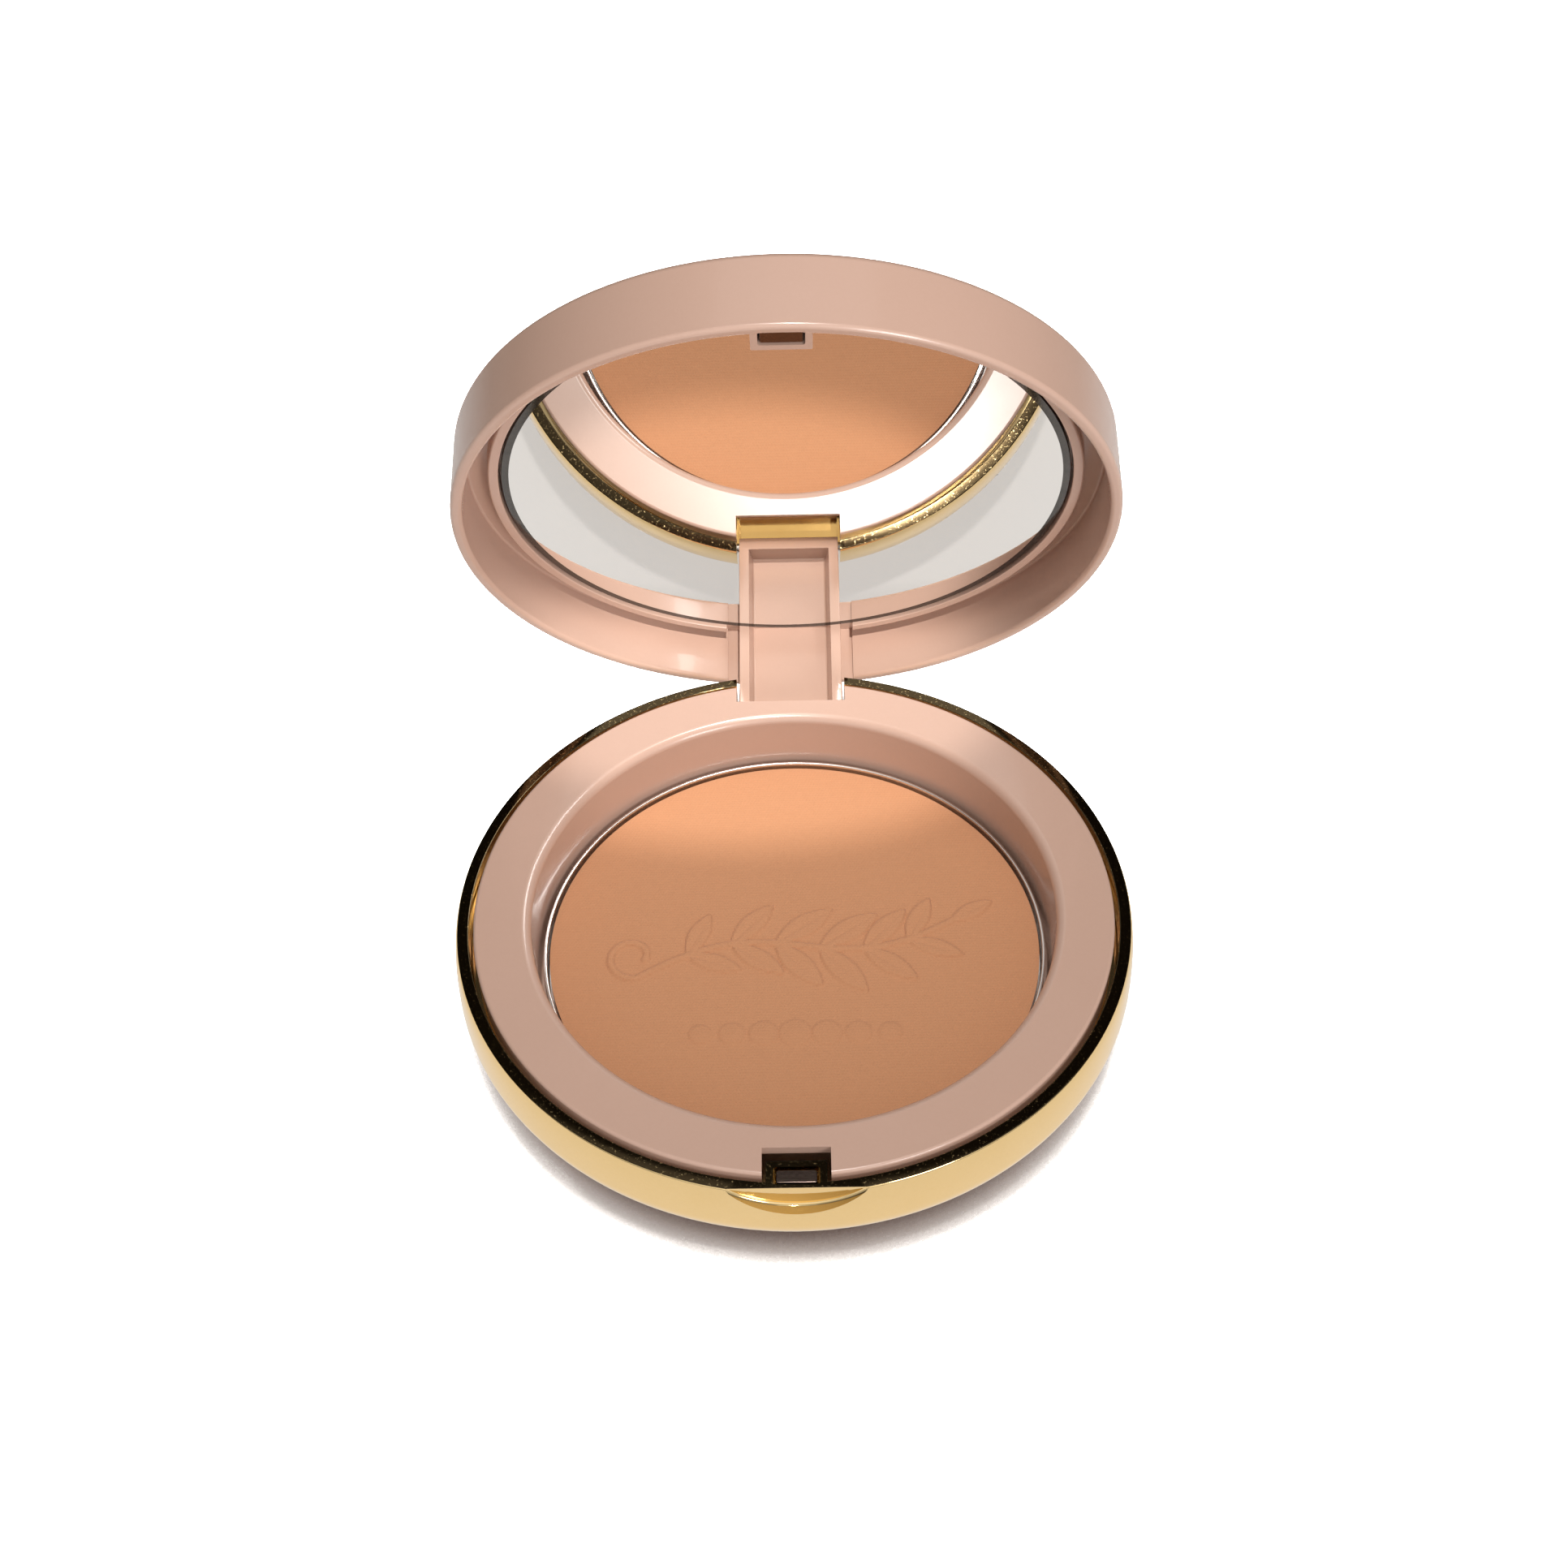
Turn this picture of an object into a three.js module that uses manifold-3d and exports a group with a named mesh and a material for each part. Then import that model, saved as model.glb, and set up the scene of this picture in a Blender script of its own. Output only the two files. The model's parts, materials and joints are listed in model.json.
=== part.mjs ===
// A round powder compact, open: a metallised bowl with a bezel, a pan of pressed powder and a mirrored lid
// that turns on a hinge pin inside the bowl's rear wall. Millimetres, +Z up, the hinge at the back (+Y),
// and the origin at the centre of the flat foot.

import * as THREE from 'three';
import { mergeVertices } from 'three/addons/utils/BufferGeometryUtils.js';
import Module from 'manifold-3d';

const wasm = await Module();
wasm.setup();

// ---- Driving dimensions ----

const ROUND_STEPS = 72; // facets around every turned piece
const SEAT_GAP = 0.3; // play between pieces that seat on each other
const THIN_GAP = 0.2; // play around glue, pads and small magnets

// pan and powder
const PAN_RADIUS = 29.5;
const PAN_HEIGHT = 2.9;
const PAN_WALL = 0.4;
const PAN_DROP = 6.5; // pan's edge below the bowl's rim
const PAN_PLAY = 0.8; // gap around the pan at the well's mouth
const POWDER_DROP = 0.2; // powder below the pan's edge
const POWDER_BORDER = 2.2; // lower border of the powder
const POWDER_BORDER_DROP = 0.25;
const PAN_PAD_RADIUS = 20;
const PAN_PAD_THICKNESS = 0.25;

// bezel insert
const BEZEL_WIDTH = 6.55; // from the well's mouth to the bezel's outer edge
const BEZEL_RISE = 0.5; // bezel face above the rim
const BEZEL_THICKNESS = 1.1;
const BEZEL_EDGE = 0.4; // rounding of the bezel's outer edge
const WELL_LIP = 1.1; // rounding of the well's mouth
const WELL_WALL = 1.1;
const WELL_DRAFT = 0.2; // the well is narrower at its floor by this much
const SKIRT_WALL = 1.2;
const WELL_FLOOR = 0.7;
const EJECTOR_RADIUS = 2; // hole under the pan, to push it out

// bowl of the base
const RIM_GROOVE = 0.55; // open groove between bezel and rim
const RIM_WIDTH = 1.2; // flat rim, from its outer edge inwards
const BULGE = 0.7; // widest part of the bowl, beyond the rim
const BULGE_DROP = 5.2; // how far the widest part lies below the rim
const FOOT_INSET = 18.3; // edge of the flat foot, inside the widest part
const BOWL_START = -78; // degrees up the bowl's curve where it meets the foot, just above a level start
const BOWL_WALL = 1.4;
const FLOOR_WALL = 1.2;
const UNDER_WELL = 1.65; // space between the well and the bowl's floor
const LEDGE_WIDTH = 1.35; // ledge inside the rim, under the bezel's skirt
const LEDGE_DROP = 3.2;

// hinge
const OPEN_ANGLE = 70.9; // degrees, from closed to how the lid stands here
const PIN_DROP = 7.8; // pin axis below the rim
const PIN_RADIUS = 0.6;
const PIN_PLAY = 0.08; // radial play of the pin in its holes
const PIN_GRIP = 1.4; // length of pin held in each cheek
const KNUCKLE_RADIUS = 1.3;
const TONGUE_WIDTH = 13.4;
const TONGUE_FRONT = 2.3; // tongue's front face, in front of the pin axis
const TONGUE_PLATE = 0.9; // thickness of the tongue's plate behind its channel
const TONGUE_RIB = 1.6; // width of each rib along the tongue
const CHEEK_WALL = 2.4; // cheeks that hold the pin, on either side of the slot
const POCKET_WALL = 1.0; // wall between the hinge pocket and the well
const POCKET_GAP = 1.0; // space between that wall and the well

// lid
const LID_OVERHANG = 0.1; // lid's outside beyond the rim
const LID_HEIGHT = 9.5;
const LID_WALL = 1.4;
const LID_TOP = 1.8;
const LID_CORNER = 1.0; // rounding of the lid's top edge
const LID_LIP = 0.5; // rounding on both sides of the lid's open edge
const LID_CLOSING_GAP = 0.35; // lid's open edge above the rim when closed

// mirror
const MIRROR_THICKNESS = 1;
const MIRROR_BEVEL = 0.4;
const MIRROR_PAD_INSET = 2.2; // pad's edge inside the mirror's
const MIRROR_PAD_THICKNESS = 0.2;
const FRAME_WIDTH = 1.2; // raised ring around the mirror
const FRAME_RISE = 0.3; // ring above the mirror's face
const FRAME_BREAK = 1.6; // how far the ring stops short of the tongue on each side
const CHANNEL_WIDTH = 2.6; // channel between the ring and the lid's wall

// catch magnets
const BASE_MAGNET = { x: 4.3, y: 1.5, z: 1.6 };
const LID_MAGNET = { x: 4.4, y: 1.8, z: 1.8 };
const MAGNET_CORNER = 0.2; // rounding of the magnets' upright edges
const MAGNET_INSET = 0.15; // magnet below the face of its block
const GLUE_THICKNESS = 0.3;
const CATCH_INSET = 2.05; // centre of both magnets, inside the rim's outer edge
const CATCH_WALL = 0.75; // wall of each magnet block around its pocket
const BASE_BLOCK_HEIGHT = 4.4;
const CATCH_SET_BACK = 0.15; // lid's magnet block behind its open edge
const BLOCK_PLAY_X = 0.4; // bezel's notch around the base block, on each side
const BLOCK_PLAY_Y = 1.3; // and behind it

// thumb scoop in the front of the bowl: a flat face with a round, filleted floor
const SCOOP_BITE = 0.6; // face behind the rim's outer edge
const SCOOP_RADIUS = 11.2; // round floor, seen from the front
const SCOOP_DROP = 3.1; // lowest point below the rim
const SCOOP_FILLET = 0.35;

// label under the foot
const LABEL_INSET = 4; // label's edge inside the foot's
const LABEL_THICKNESS = 0.2;

// ---- Sizes that follow ----

const wellRadius = PAN_RADIUS + PAN_PLAY;
const wellOuterRadius = wellRadius + WELL_WALL;
const bezelRadius = wellRadius + BEZEL_WIDTH;
const rimInnerRadius = bezelRadius + RIM_GROOVE;
const rimRadius = rimInnerRadius + RIM_WIDTH;
const bulgeRadius = rimRadius + BULGE;
const footRadius = bulgeRadius - FOOT_INSET;
const ledgeRadius = rimInnerRadius - LEDGE_WIDTH;
const labelRadius = footRadius - LABEL_INSET;
const farOut = bulgeRadius * 2; // beyond every outside face

const wellFloorUnder = FLOOR_WALL + UNDER_WELL;
const wellFloorTop = wellFloorUnder + WELL_FLOOR;
const padBottom = wellFloorTop + THIN_GAP;
const padTop = padBottom + PAN_PAD_THICKNESS;
const panBottom = padTop + THIN_GAP;
const panTop = panBottom + PAN_HEIGHT;
const rimZ = panTop + PAN_DROP;
const bulgeZ = rimZ - BULGE_DROP;
const ledgeZ = rimZ - LEDGE_DROP;
const bezelTop = rimZ + BEZEL_RISE;
const bezelUnder = bezelTop - BEZEL_THICKNESS;
const skirtBottom = ledgeZ + SEAT_GAP;

const pocketBackY = wellOuterRadius + POCKET_GAP;
const pocketFrontY = pocketBackY + POCKET_WALL;
const tongueFrontY = pocketFrontY + SEAT_GAP;
const pinY = tongueFrontY + TONGUE_FRONT;
const pinZ = rimZ - PIN_DROP;
const closedPinZ = -(PIN_DROP + LID_CLOSING_GAP);
const slotHalf = TONGUE_WIDTH / 2 + THIN_GAP;
const pinHalf = slotHalf + PIN_GRIP;
const tongueBackY = pinY + KNUCKLE_RADIUS;
const slotFloorZ = pinZ - KNUCKLE_RADIUS - SEAT_GAP;

const lidRadius = rimRadius + LID_OVERHANG;
const lidInnerRadius = lidRadius - LID_WALL;
const lidCeiling = LID_HEIGHT - LID_TOP;
const frameOuterRadius = lidInnerRadius - CHANNEL_WIDTH;
const frameInnerRadius = frameOuterRadius - FRAME_WIDTH;
const mirrorRadius = frameInnerRadius - SEAT_GAP;
const mirrorPadTop = lidCeiling - SEAT_GAP;
const mirrorPadBottom = mirrorPadTop - MIRROR_PAD_THICKNESS;
const mirrorBack = mirrorPadBottom - SEAT_GAP;
const mirrorFace = mirrorBack - MIRROR_THICKNESS;
const frameFace = mirrorFace - FRAME_RISE;

const magnetY = CATCH_INSET - rimRadius;
const basePocketDepth = MAGNET_INSET + BASE_MAGNET.z + THIN_GAP + GLUE_THICKNESS + THIN_GAP;
const lidPocketDepth = MAGNET_INSET + LID_MAGNET.z + SEAT_GAP + GLUE_THICKNESS + SEAT_GAP;

// ---- Shape helpers ----

const at = (r, z) => new THREE.Vector2(r, z);

// Points of an elliptic arc about (cr, cz), from one angle to another in degrees.
function arc(cr, cz, halfR, halfZ, fromDegrees, toDegrees, steps) {
  const points = [];
  for (let i = 0; i <= steps; i += 1) {
    const angle = THREE.MathUtils.degToRad(fromDegrees + ((toDegrees - fromDegrees) * i) / steps);
    points.push(at(cr + halfR * Math.cos(angle), cz + halfZ * Math.sin(angle)));
  }
  return points;
}

// A profile of (radius, height) points, anticlockwise, turned about Z.
function turned(points) {
  const geometry = new THREE.LatheGeometry(points, ROUND_STEPS);
  return geometry.rotateX(Math.PI / 2);
}

function block(x0, x1, y0, y1, z0, z1) {
  const geometry = new THREE.BoxGeometry(x1 - x0, y1 - y0, z1 - z0);
  return geometry.translate((x0 + x1) / 2, (y0 + y1) / 2, (z0 + z1) / 2);
}

// A rod along X, centred on x = 0.
function rod(radius, length, y, z) {
  const geometry = new THREE.CylinderGeometry(radius, radius, length, 20);
  return geometry.rotateZ(Math.PI / 2).translate(0, y, z);
}

// An outline in the YZ plane, anticlockwise seen from +X, extruded to a width centred on x = 0.
function sidePlate(outline, width) {
  const geometry = new THREE.ExtrudeGeometry(outline, { depth: width, bevelEnabled: false, curveSegments: 14 });
  return geometry.translate(0, 0, -width / 2).rotateY(Math.PI / 2).rotateX(Math.PI / 2);
}

// A flat bar with rounded upright edges, centred on x = 0 and on y, from z0 up.
function softBar(size, y, z0) {
  const shape = new THREE.Shape();
  const halfX = size.x / 2;
  const halfY = size.y / 2;
  shape.moveTo(-halfX + MAGNET_CORNER, -halfY);
  shape.lineTo(halfX - MAGNET_CORNER, -halfY);
  shape.absarc(halfX - MAGNET_CORNER, -halfY + MAGNET_CORNER, MAGNET_CORNER, -Math.PI / 2, 0);
  shape.absarc(halfX - MAGNET_CORNER, halfY - MAGNET_CORNER, MAGNET_CORNER, 0, Math.PI / 2);
  shape.absarc(-halfX + MAGNET_CORNER, halfY - MAGNET_CORNER, MAGNET_CORNER, Math.PI / 2, Math.PI);
  shape.absarc(-halfX + MAGNET_CORNER, -halfY + MAGNET_CORNER, MAGNET_CORNER, Math.PI, Math.PI * 1.5);
  const geometry = new THREE.ExtrudeGeometry(shape, { depth: size.z, bevelEnabled: false, curveSegments: 3 });
  return geometry.translate(0, y, z0);
}

// A closed geometry as a solid for joining and cutting.
function solid(geometry) {
  const bare = geometry.clone();
  bare.deleteAttribute('normal');
  bare.deleteAttribute('uv');
  const merged = mergeVertices(bare, 1e-5);
  const vertProperties = new Float32Array(merged.attributes.position.array);
  const triVerts = new Uint32Array(merged.index.array);
  return new wasm.Manifold(new wasm.Mesh({ numProp: 3, vertProperties, triVerts }));
}

function geometryOf(body) {
  const mesh = body.getMesh();
  const geometry = new THREE.BufferGeometry();
  geometry.setAttribute('position', new THREE.BufferAttribute(new Float32Array(mesh.vertProperties), 3));
  geometry.setIndex(new THREE.BufferAttribute(new Uint32Array(mesh.triVerts), 1));
  geometry.computeVertexNormals();
  return geometry;
}

// ---- Materials ----

const metallised = new THREE.MeshStandardMaterial({ color: 0xd9ad5c, roughness: 0.18, metalness: 1 });
const blushPlastic = new THREE.MeshStandardMaterial({ color: 0xcfa491, roughness: 0.28, metalness: 0 });
const aluminium = new THREE.MeshStandardMaterial({ color: 0xc9c6c2, roughness: 0.3, metalness: 1 });
const steel = new THREE.MeshStandardMaterial({ color: 0x9c9a98, roughness: 0.35, metalness: 1 });
const nickel = new THREE.MeshStandardMaterial({ color: 0x8d8078, roughness: 0.4, metalness: 1 });
const silvered = new THREE.MeshStandardMaterial({ color: 0xe8e8e8, roughness: 0.03, metalness: 1 });
const pressedPowder = new THREE.MeshStandardMaterial({ color: 0xc98a5e, roughness: 0.95, metalness: 0 });
const foam = new THREE.MeshStandardMaterial({ color: 0xe9e6df, roughness: 0.9, metalness: 0 });
const glue = new THREE.MeshStandardMaterial({ color: 0xd8cfc0, roughness: 0.5, metalness: 0 });
const label = new THREE.MeshStandardMaterial({ color: 0xf1ece4, roughness: 0.7, metalness: 0 });

// ---- Base ----

// Outside of the bowl: flat foot, a quarter ellipse up to the bulge, and a gentle return to the rim.
function bowlOutside() {
  return [
    at(footRadius, 0),
    ...arc(footRadius, bulgeZ, bulgeRadius - footRadius, bulgeZ, BOWL_START, 0, 9),
    ...arc(rimRadius, bulgeZ, bulgeRadius - rimRadius, BULGE_DROP, 25, 90, 3),
  ];
}

function bowlBody() {
  return solid(turned([at(0, 0), ...bowlOutside(), at(0, rimZ)]));
}

// Inside of the bowl: straight rim, the bezel's ledge, and an inner ellipse down to the floor.
function bowlCavity() {
  const halfR = bulgeRadius - BOWL_WALL - footRadius;
  const halfZ = bulgeZ - FLOOR_WALL;
  const ledgeAngle = THREE.MathUtils.radToDeg(Math.acos((ledgeRadius - footRadius) / halfR));
  return solid(
    turned([
      at(0, FLOOR_WALL),
      ...arc(footRadius, bulgeZ, halfR, halfZ, -90, -ledgeAngle, 8),
      at(ledgeRadius, ledgeZ),
      at(rimInnerRadius, ledgeZ),
      at(rimInnerRadius, rimZ + 1),
      at(0, rimZ + 1),
    ]),
  );
}

// Half width and half depth of a magnet's pocket, and of the block around it.
function catchSizes(magnet, clearance) {
  const pocketX = magnet.x / 2 + clearance;
  const pocketY = magnet.y / 2 + clearance;
  return { pocketX, pocketY, blockX: pocketX + CATCH_WALL, blockY: pocketY + CATCH_WALL };
}

function scoopCutter() {
  const reach = bulgeRadius - rimRadius + SCOOP_BITE + 1;
  const cutter = turned([
    at(0, 0),
    ...arc(SCOOP_RADIUS - SCOOP_FILLET, SCOOP_FILLET, SCOOP_FILLET, SCOOP_FILLET, -90, 0, 4),
    at(SCOOP_RADIUS, reach),
    at(0, reach),
  ]);
  const axisZ = rimZ - SCOOP_DROP + SCOOP_RADIUS;
  // the turned axis points forwards, out of the bowl's front
  return solid(cutter.rotateX(Math.PI / 2).translate(0, SCOOP_BITE - rimRadius, axisZ));
}

const baseCatch = catchSizes(BASE_MAGNET, SEAT_GAP);
const lidCatch = catchSizes(LID_MAGNET, THIN_GAP);

function baseShell() {
  const bowl = bowlBody();
  const cheekOut = slotHalf + CHEEK_WALL;
  const wallTop = ledgeZ - 0.1;
  // a box of cheeks and walls around the hinge pocket, trimmed to the bowl
  const pocketBox = solid(block(-cheekOut, cheekOut, pocketBackY, farOut, FLOOR_WALL / 2, wallTop));
  const pocketScreen = solid(
    block(-slotHalf, slotHalf, pocketBackY, pocketFrontY, FLOOR_WALL, bezelUnder - SEAT_GAP),
  );
  const catchBlock = solid(
    block(-baseCatch.blockX, baseCatch.blockX, -rimRadius, magnetY + baseCatch.blockY,
      rimZ - BASE_BLOCK_HEIGHT, rimZ),
  );
  const slot = solid(block(-slotHalf, slotHalf, pocketFrontY, farOut, slotFloorZ, rimZ + 1));
  const pinHole = solid(rod(PIN_RADIUS + PIN_PLAY, pinHalf * 2 + THIN_GAP * 2, pinY, pinZ));
  const catchPocket = solid(
    block(-baseCatch.pocketX, baseCatch.pocketX, magnetY - baseCatch.pocketY, magnetY + baseCatch.pocketY,
      rimZ - basePocketDepth, rimZ + 1),
  );
  const labelRecess = solid(
    turned([
      at(0, -1),
      at(labelRadius + SEAT_GAP, -1),
      at(labelRadius + SEAT_GAP, LABEL_THICKNESS + THIN_GAP),
      at(0, LABEL_THICKNESS + THIN_GAP),
    ]),
  );
  return bowl
    .subtract(bowlCavity())
    .add(pocketBox.intersect(bowl))
    .add(pocketScreen.intersect(bowl))
    .add(catchBlock.intersect(bowl))
    .subtract(slot)
    .subtract(pinHole)
    .subtract(catchPocket)
    .subtract(scoopCutter())
    .subtract(labelRecess);
}

// One moulding: flat bezel, short outer skirt and the well that the pan drops into.
function baseInsert() {
  const wellBottomRadius = wellRadius - WELL_DRAFT;
  const corner = 1.5 * WELL_WALL;
  const profile = [
    at(EJECTOR_RADIUS, wellFloorUnder),
    at(wellOuterRadius - corner, wellFloorUnder),
    at(wellOuterRadius, wellFloorUnder + WELL_WALL),
    at(wellOuterRadius, bezelUnder),
    at(bezelRadius - SKIRT_WALL, bezelUnder),
    at(bezelRadius - SKIRT_WALL, skirtBottom),
    at(bezelRadius, skirtBottom),
    ...arc(bezelRadius - BEZEL_EDGE, bezelTop - BEZEL_EDGE, BEZEL_EDGE, BEZEL_EDGE, 0, 90, 3),
    ...arc(wellRadius + WELL_LIP, bezelTop - WELL_LIP, WELL_LIP, WELL_LIP, 90, 180, 5),
    at(wellBottomRadius, wellFloorTop + WELL_DRAFT),
    at(wellBottomRadius - WELL_DRAFT, wellFloorTop),
    at(EJECTOR_RADIUS, wellFloorTop),
    at(EJECTOR_RADIUS, wellFloorUnder),
  ];
  const hingeNotch = solid(
    block(-slotHalf, slotHalf, tongueFrontY - SEAT_GAP, farOut, skirtBottom - 1, rimZ + 2 * BEZEL_RISE),
  );
  const notchHalf = baseCatch.blockX + BLOCK_PLAY_X;
  const notchBackY = magnetY + baseCatch.blockY + BLOCK_PLAY_Y;
  const catchNotch = solid(
    block(-notchHalf, notchHalf, -farOut, notchBackY, skirtBottom - 1, rimZ + 2 * BEZEL_RISE),
  );
  return solid(turned(profile)).subtract(hingeNotch).subtract(catchNotch);
}

function powderPan() {
  const foldRadius = PAN_WALL;
  return turned([
    at(0, panBottom),
    ...arc(PAN_RADIUS - foldRadius, panBottom + foldRadius, foldRadius, foldRadius, -90, 0, 3),
    at(PAN_RADIUS, panTop),
    at(PAN_RADIUS - PAN_WALL, panTop),
    at(PAN_RADIUS - PAN_WALL, panBottom + PAN_WALL),
    at(0, panBottom + PAN_WALL),
  ]);
}

function powderCake() {
  const radius = PAN_RADIUS - PAN_WALL - SEAT_GAP;
  const top = panTop - POWDER_DROP;
  return turned([
    at(0, panBottom + PAN_WALL + SEAT_GAP),
    at(radius, panBottom + PAN_WALL + SEAT_GAP),
    at(radius, top - POWDER_BORDER_DROP),
    at(radius - POWDER_BORDER, top - POWDER_BORDER_DROP),
    at(radius - POWDER_BORDER - POWDER_BORDER_DROP, top),
    at(0, top),
  ]);
}

function disc(radius, bottom, top) {
  return turned([at(0, bottom), at(radius, bottom), at(radius, top), at(0, top)]);
}

// ---- Lid, drawn closed: z = 0 is its open edge and the compact's axis is Z ----

// Side view of the tongue: it hangs from the lid's ceiling down to a round knuckle on the pin.
function tongueOutline() {
  const outline = new THREE.Shape();
  outline.moveTo(tongueBackY, lidCeiling + LID_TOP / 2);
  outline.lineTo(tongueFrontY, lidCeiling + LID_TOP / 2);
  outline.lineTo(tongueFrontY, closedPinZ + KNUCKLE_RADIUS);
  outline.absarc(pinY, closedPinZ, KNUCKLE_RADIUS, Math.PI * 1.08, Math.PI * 2, false);
  outline.closePath();
  return outline;
}

function lidTongue() {
  const half = TONGUE_WIDTH / 2;
  const channelHalf = half - TONGUE_RIB;
  const channelBackY = tongueBackY - TONGUE_PLATE;
  const channelEndZ = closedPinZ + KNUCKLE_RADIUS + SEAT_GAP;
  const plate = solid(sidePlate(tongueOutline(), TONGUE_WIDTH));
  const channel = solid(
    block(-channelHalf, channelHalf, tongueFrontY - 1, channelBackY, channelEndZ, lidCeiling),
  );
  const pinHole = solid(rod(PIN_RADIUS + PIN_PLAY, TONGUE_WIDTH + 2, pinY, closedPinZ));
  // ties the tongue to the lid's wall above the open edge
  const root = solid(
    block(-half, half, channelBackY, lidInnerRadius + LID_WALL / 2, LID_LIP, lidCeiling + LID_TOP / 2),
  );
  return plate.subtract(channel).subtract(pinHole).add(root);
}

function lidShell() {
  const cup = solid(
    turned([
      at(0, lidCeiling),
      at(frameInnerRadius, lidCeiling),
      at(frameInnerRadius, frameFace),
      at(frameOuterRadius, frameFace),
      at(frameOuterRadius, lidCeiling),
      at(lidInnerRadius, lidCeiling),
      ...arc(lidInnerRadius + LID_LIP, LID_LIP, LID_LIP, LID_LIP, 180, 270, 3),
      ...arc(lidRadius - LID_LIP, LID_LIP, LID_LIP, LID_LIP, -90, 0, 3),
      ...arc(lidRadius - LID_CORNER, LID_HEIGHT - LID_CORNER, LID_CORNER, LID_CORNER, 0, 90, 4),
      at(0, LID_HEIGHT),
    ]),
  );
  const breakHalf = TONGUE_WIDTH / 2 + FRAME_BREAK;
  const frameBreak = solid(
    block(-breakHalf, breakHalf, frameInnerRadius / 2, lidInnerRadius - SEAT_GAP, -1, lidCeiling),
  );
  const wallMiddleY = -(lidInnerRadius + LID_WALL / 2);
  const rootZ = lidCeiling + LID_TOP / 2;
  const catchBlock = solid(
    block(-lidCatch.blockX, lidCatch.blockX, wallMiddleY, magnetY + lidCatch.blockY, CATCH_SET_BACK, rootZ),
  );
  // joins the block to the ring around the mirror
  const frameMiddleY = -(frameInnerRadius + FRAME_WIDTH / 2);
  const catchFoot = solid(
    block(-lidCatch.blockX, lidCatch.blockX, wallMiddleY, frameMiddleY, frameFace, rootZ),
  );
  const catchPocket = solid(
    block(-lidCatch.pocketX, lidCatch.pocketX, magnetY - lidCatch.pocketY, magnetY + lidCatch.pocketY,
      -1, CATCH_SET_BACK + lidPocketDepth),
  );
  return cup.subtract(frameBreak).add(lidTongue()).add(catchBlock).add(catchFoot).subtract(catchPocket);
}

function mirrorGlass() {
  return turned([
    at(0, mirrorFace),
    at(mirrorRadius - MIRROR_BEVEL, mirrorFace),
    at(mirrorRadius, mirrorFace + MIRROR_BEVEL),
    at(mirrorRadius, mirrorBack),
    at(0, mirrorBack),
  ]);
}

// ---- Assembly ----

function addPiece(parent, name, geometry, material) {
  const mesh = new THREE.Mesh(geometry, material);
  mesh.name = name;
  parent.add(mesh);
}

const compact = new THREE.Group();

const baseMagnetZ = rimZ - MAGNET_INSET - BASE_MAGNET.z;
const baseGlueZ = baseMagnetZ - THIN_GAP - GLUE_THICKNESS;
const baseGlue = { x: BASE_MAGNET.x, y: BASE_MAGNET.y, z: GLUE_THICKNESS };
const base = new THREE.Group();
addPiece(base, 'base_shell', geometryOf(baseShell()), metallised);
addPiece(base, 'base_insert', geometryOf(baseInsert()), blushPlastic);
addPiece(base, 'powder_pan', powderPan(), aluminium);
addPiece(base, 'powder_cake', powderCake(), pressedPowder);
addPiece(base, 'pan_adhesive', disc(PAN_PAD_RADIUS, padBottom, padTop), foam);
addPiece(base, 'base_magnet', softBar(BASE_MAGNET, magnetY, baseMagnetZ), nickel);
addPiece(base, 'base_magnet_glue', softBar(baseGlue, magnetY, baseGlueZ), glue);
addPiece(base, 'base_label', disc(labelRadius, 0, LABEL_THICKNESS), label);
addPiece(base, 'hinge_pin', rod(PIN_RADIUS, pinHalf * 2, pinY, pinZ), steel);
compact.add(base);

const mirrorPad = disc(mirrorRadius - MIRROR_PAD_INSET, mirrorPadBottom, mirrorPadTop);
const lidMagnetZ = CATCH_SET_BACK + MAGNET_INSET;
const lidGlueZ = lidMagnetZ + LID_MAGNET.z + SEAT_GAP;
const lidGlue = { x: LID_MAGNET.x, y: LID_MAGNET.y, z: GLUE_THICKNESS };
const lidClosed = new THREE.Group();
lidClosed.position.set(0, -pinY, -closedPinZ);
addPiece(lidClosed, 'lid_shell', geometryOf(lidShell()), blushPlastic);
addPiece(lidClosed, 'mirror_glass', mirrorGlass(), silvered);
addPiece(lidClosed, 'mirror_adhesive', mirrorPad, foam);
addPiece(lidClosed, 'lid_magnet', softBar(LID_MAGNET, magnetY, lidMagnetZ), nickel);
addPiece(lidClosed, 'lid_magnet_glue', softBar(lidGlue, magnetY, lidGlueZ), glue);

// the lid swings about the pin, backwards from closed
const lid = new THREE.Group();
lid.position.set(0, pinY, pinZ);
lid.rotation.x = THREE.MathUtils.degToRad(-OPEN_ANGLE);
lid.add(lidClosed);
compact.add(lid);

export default compact;
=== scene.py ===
"""A round powder compact, open: a metallised bowl, a blush bezel, pressed powder and a mirrored lid.

Metres, +Z up, the hinge at the back (+Y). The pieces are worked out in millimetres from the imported
frame, the lid as it lies closed over the base, and are scaled and swung open as they are made.
"""

import json
import logging
import math
from dataclasses import dataclass
from enum import Enum
from typing import Sequence

import bmesh
import bpy
import numpy as np
from bpy.types import Collection, Material, Mesh, Node, NodeSocket, NodeTree, Object, World
from mathutils import Matrix, Vector


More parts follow.
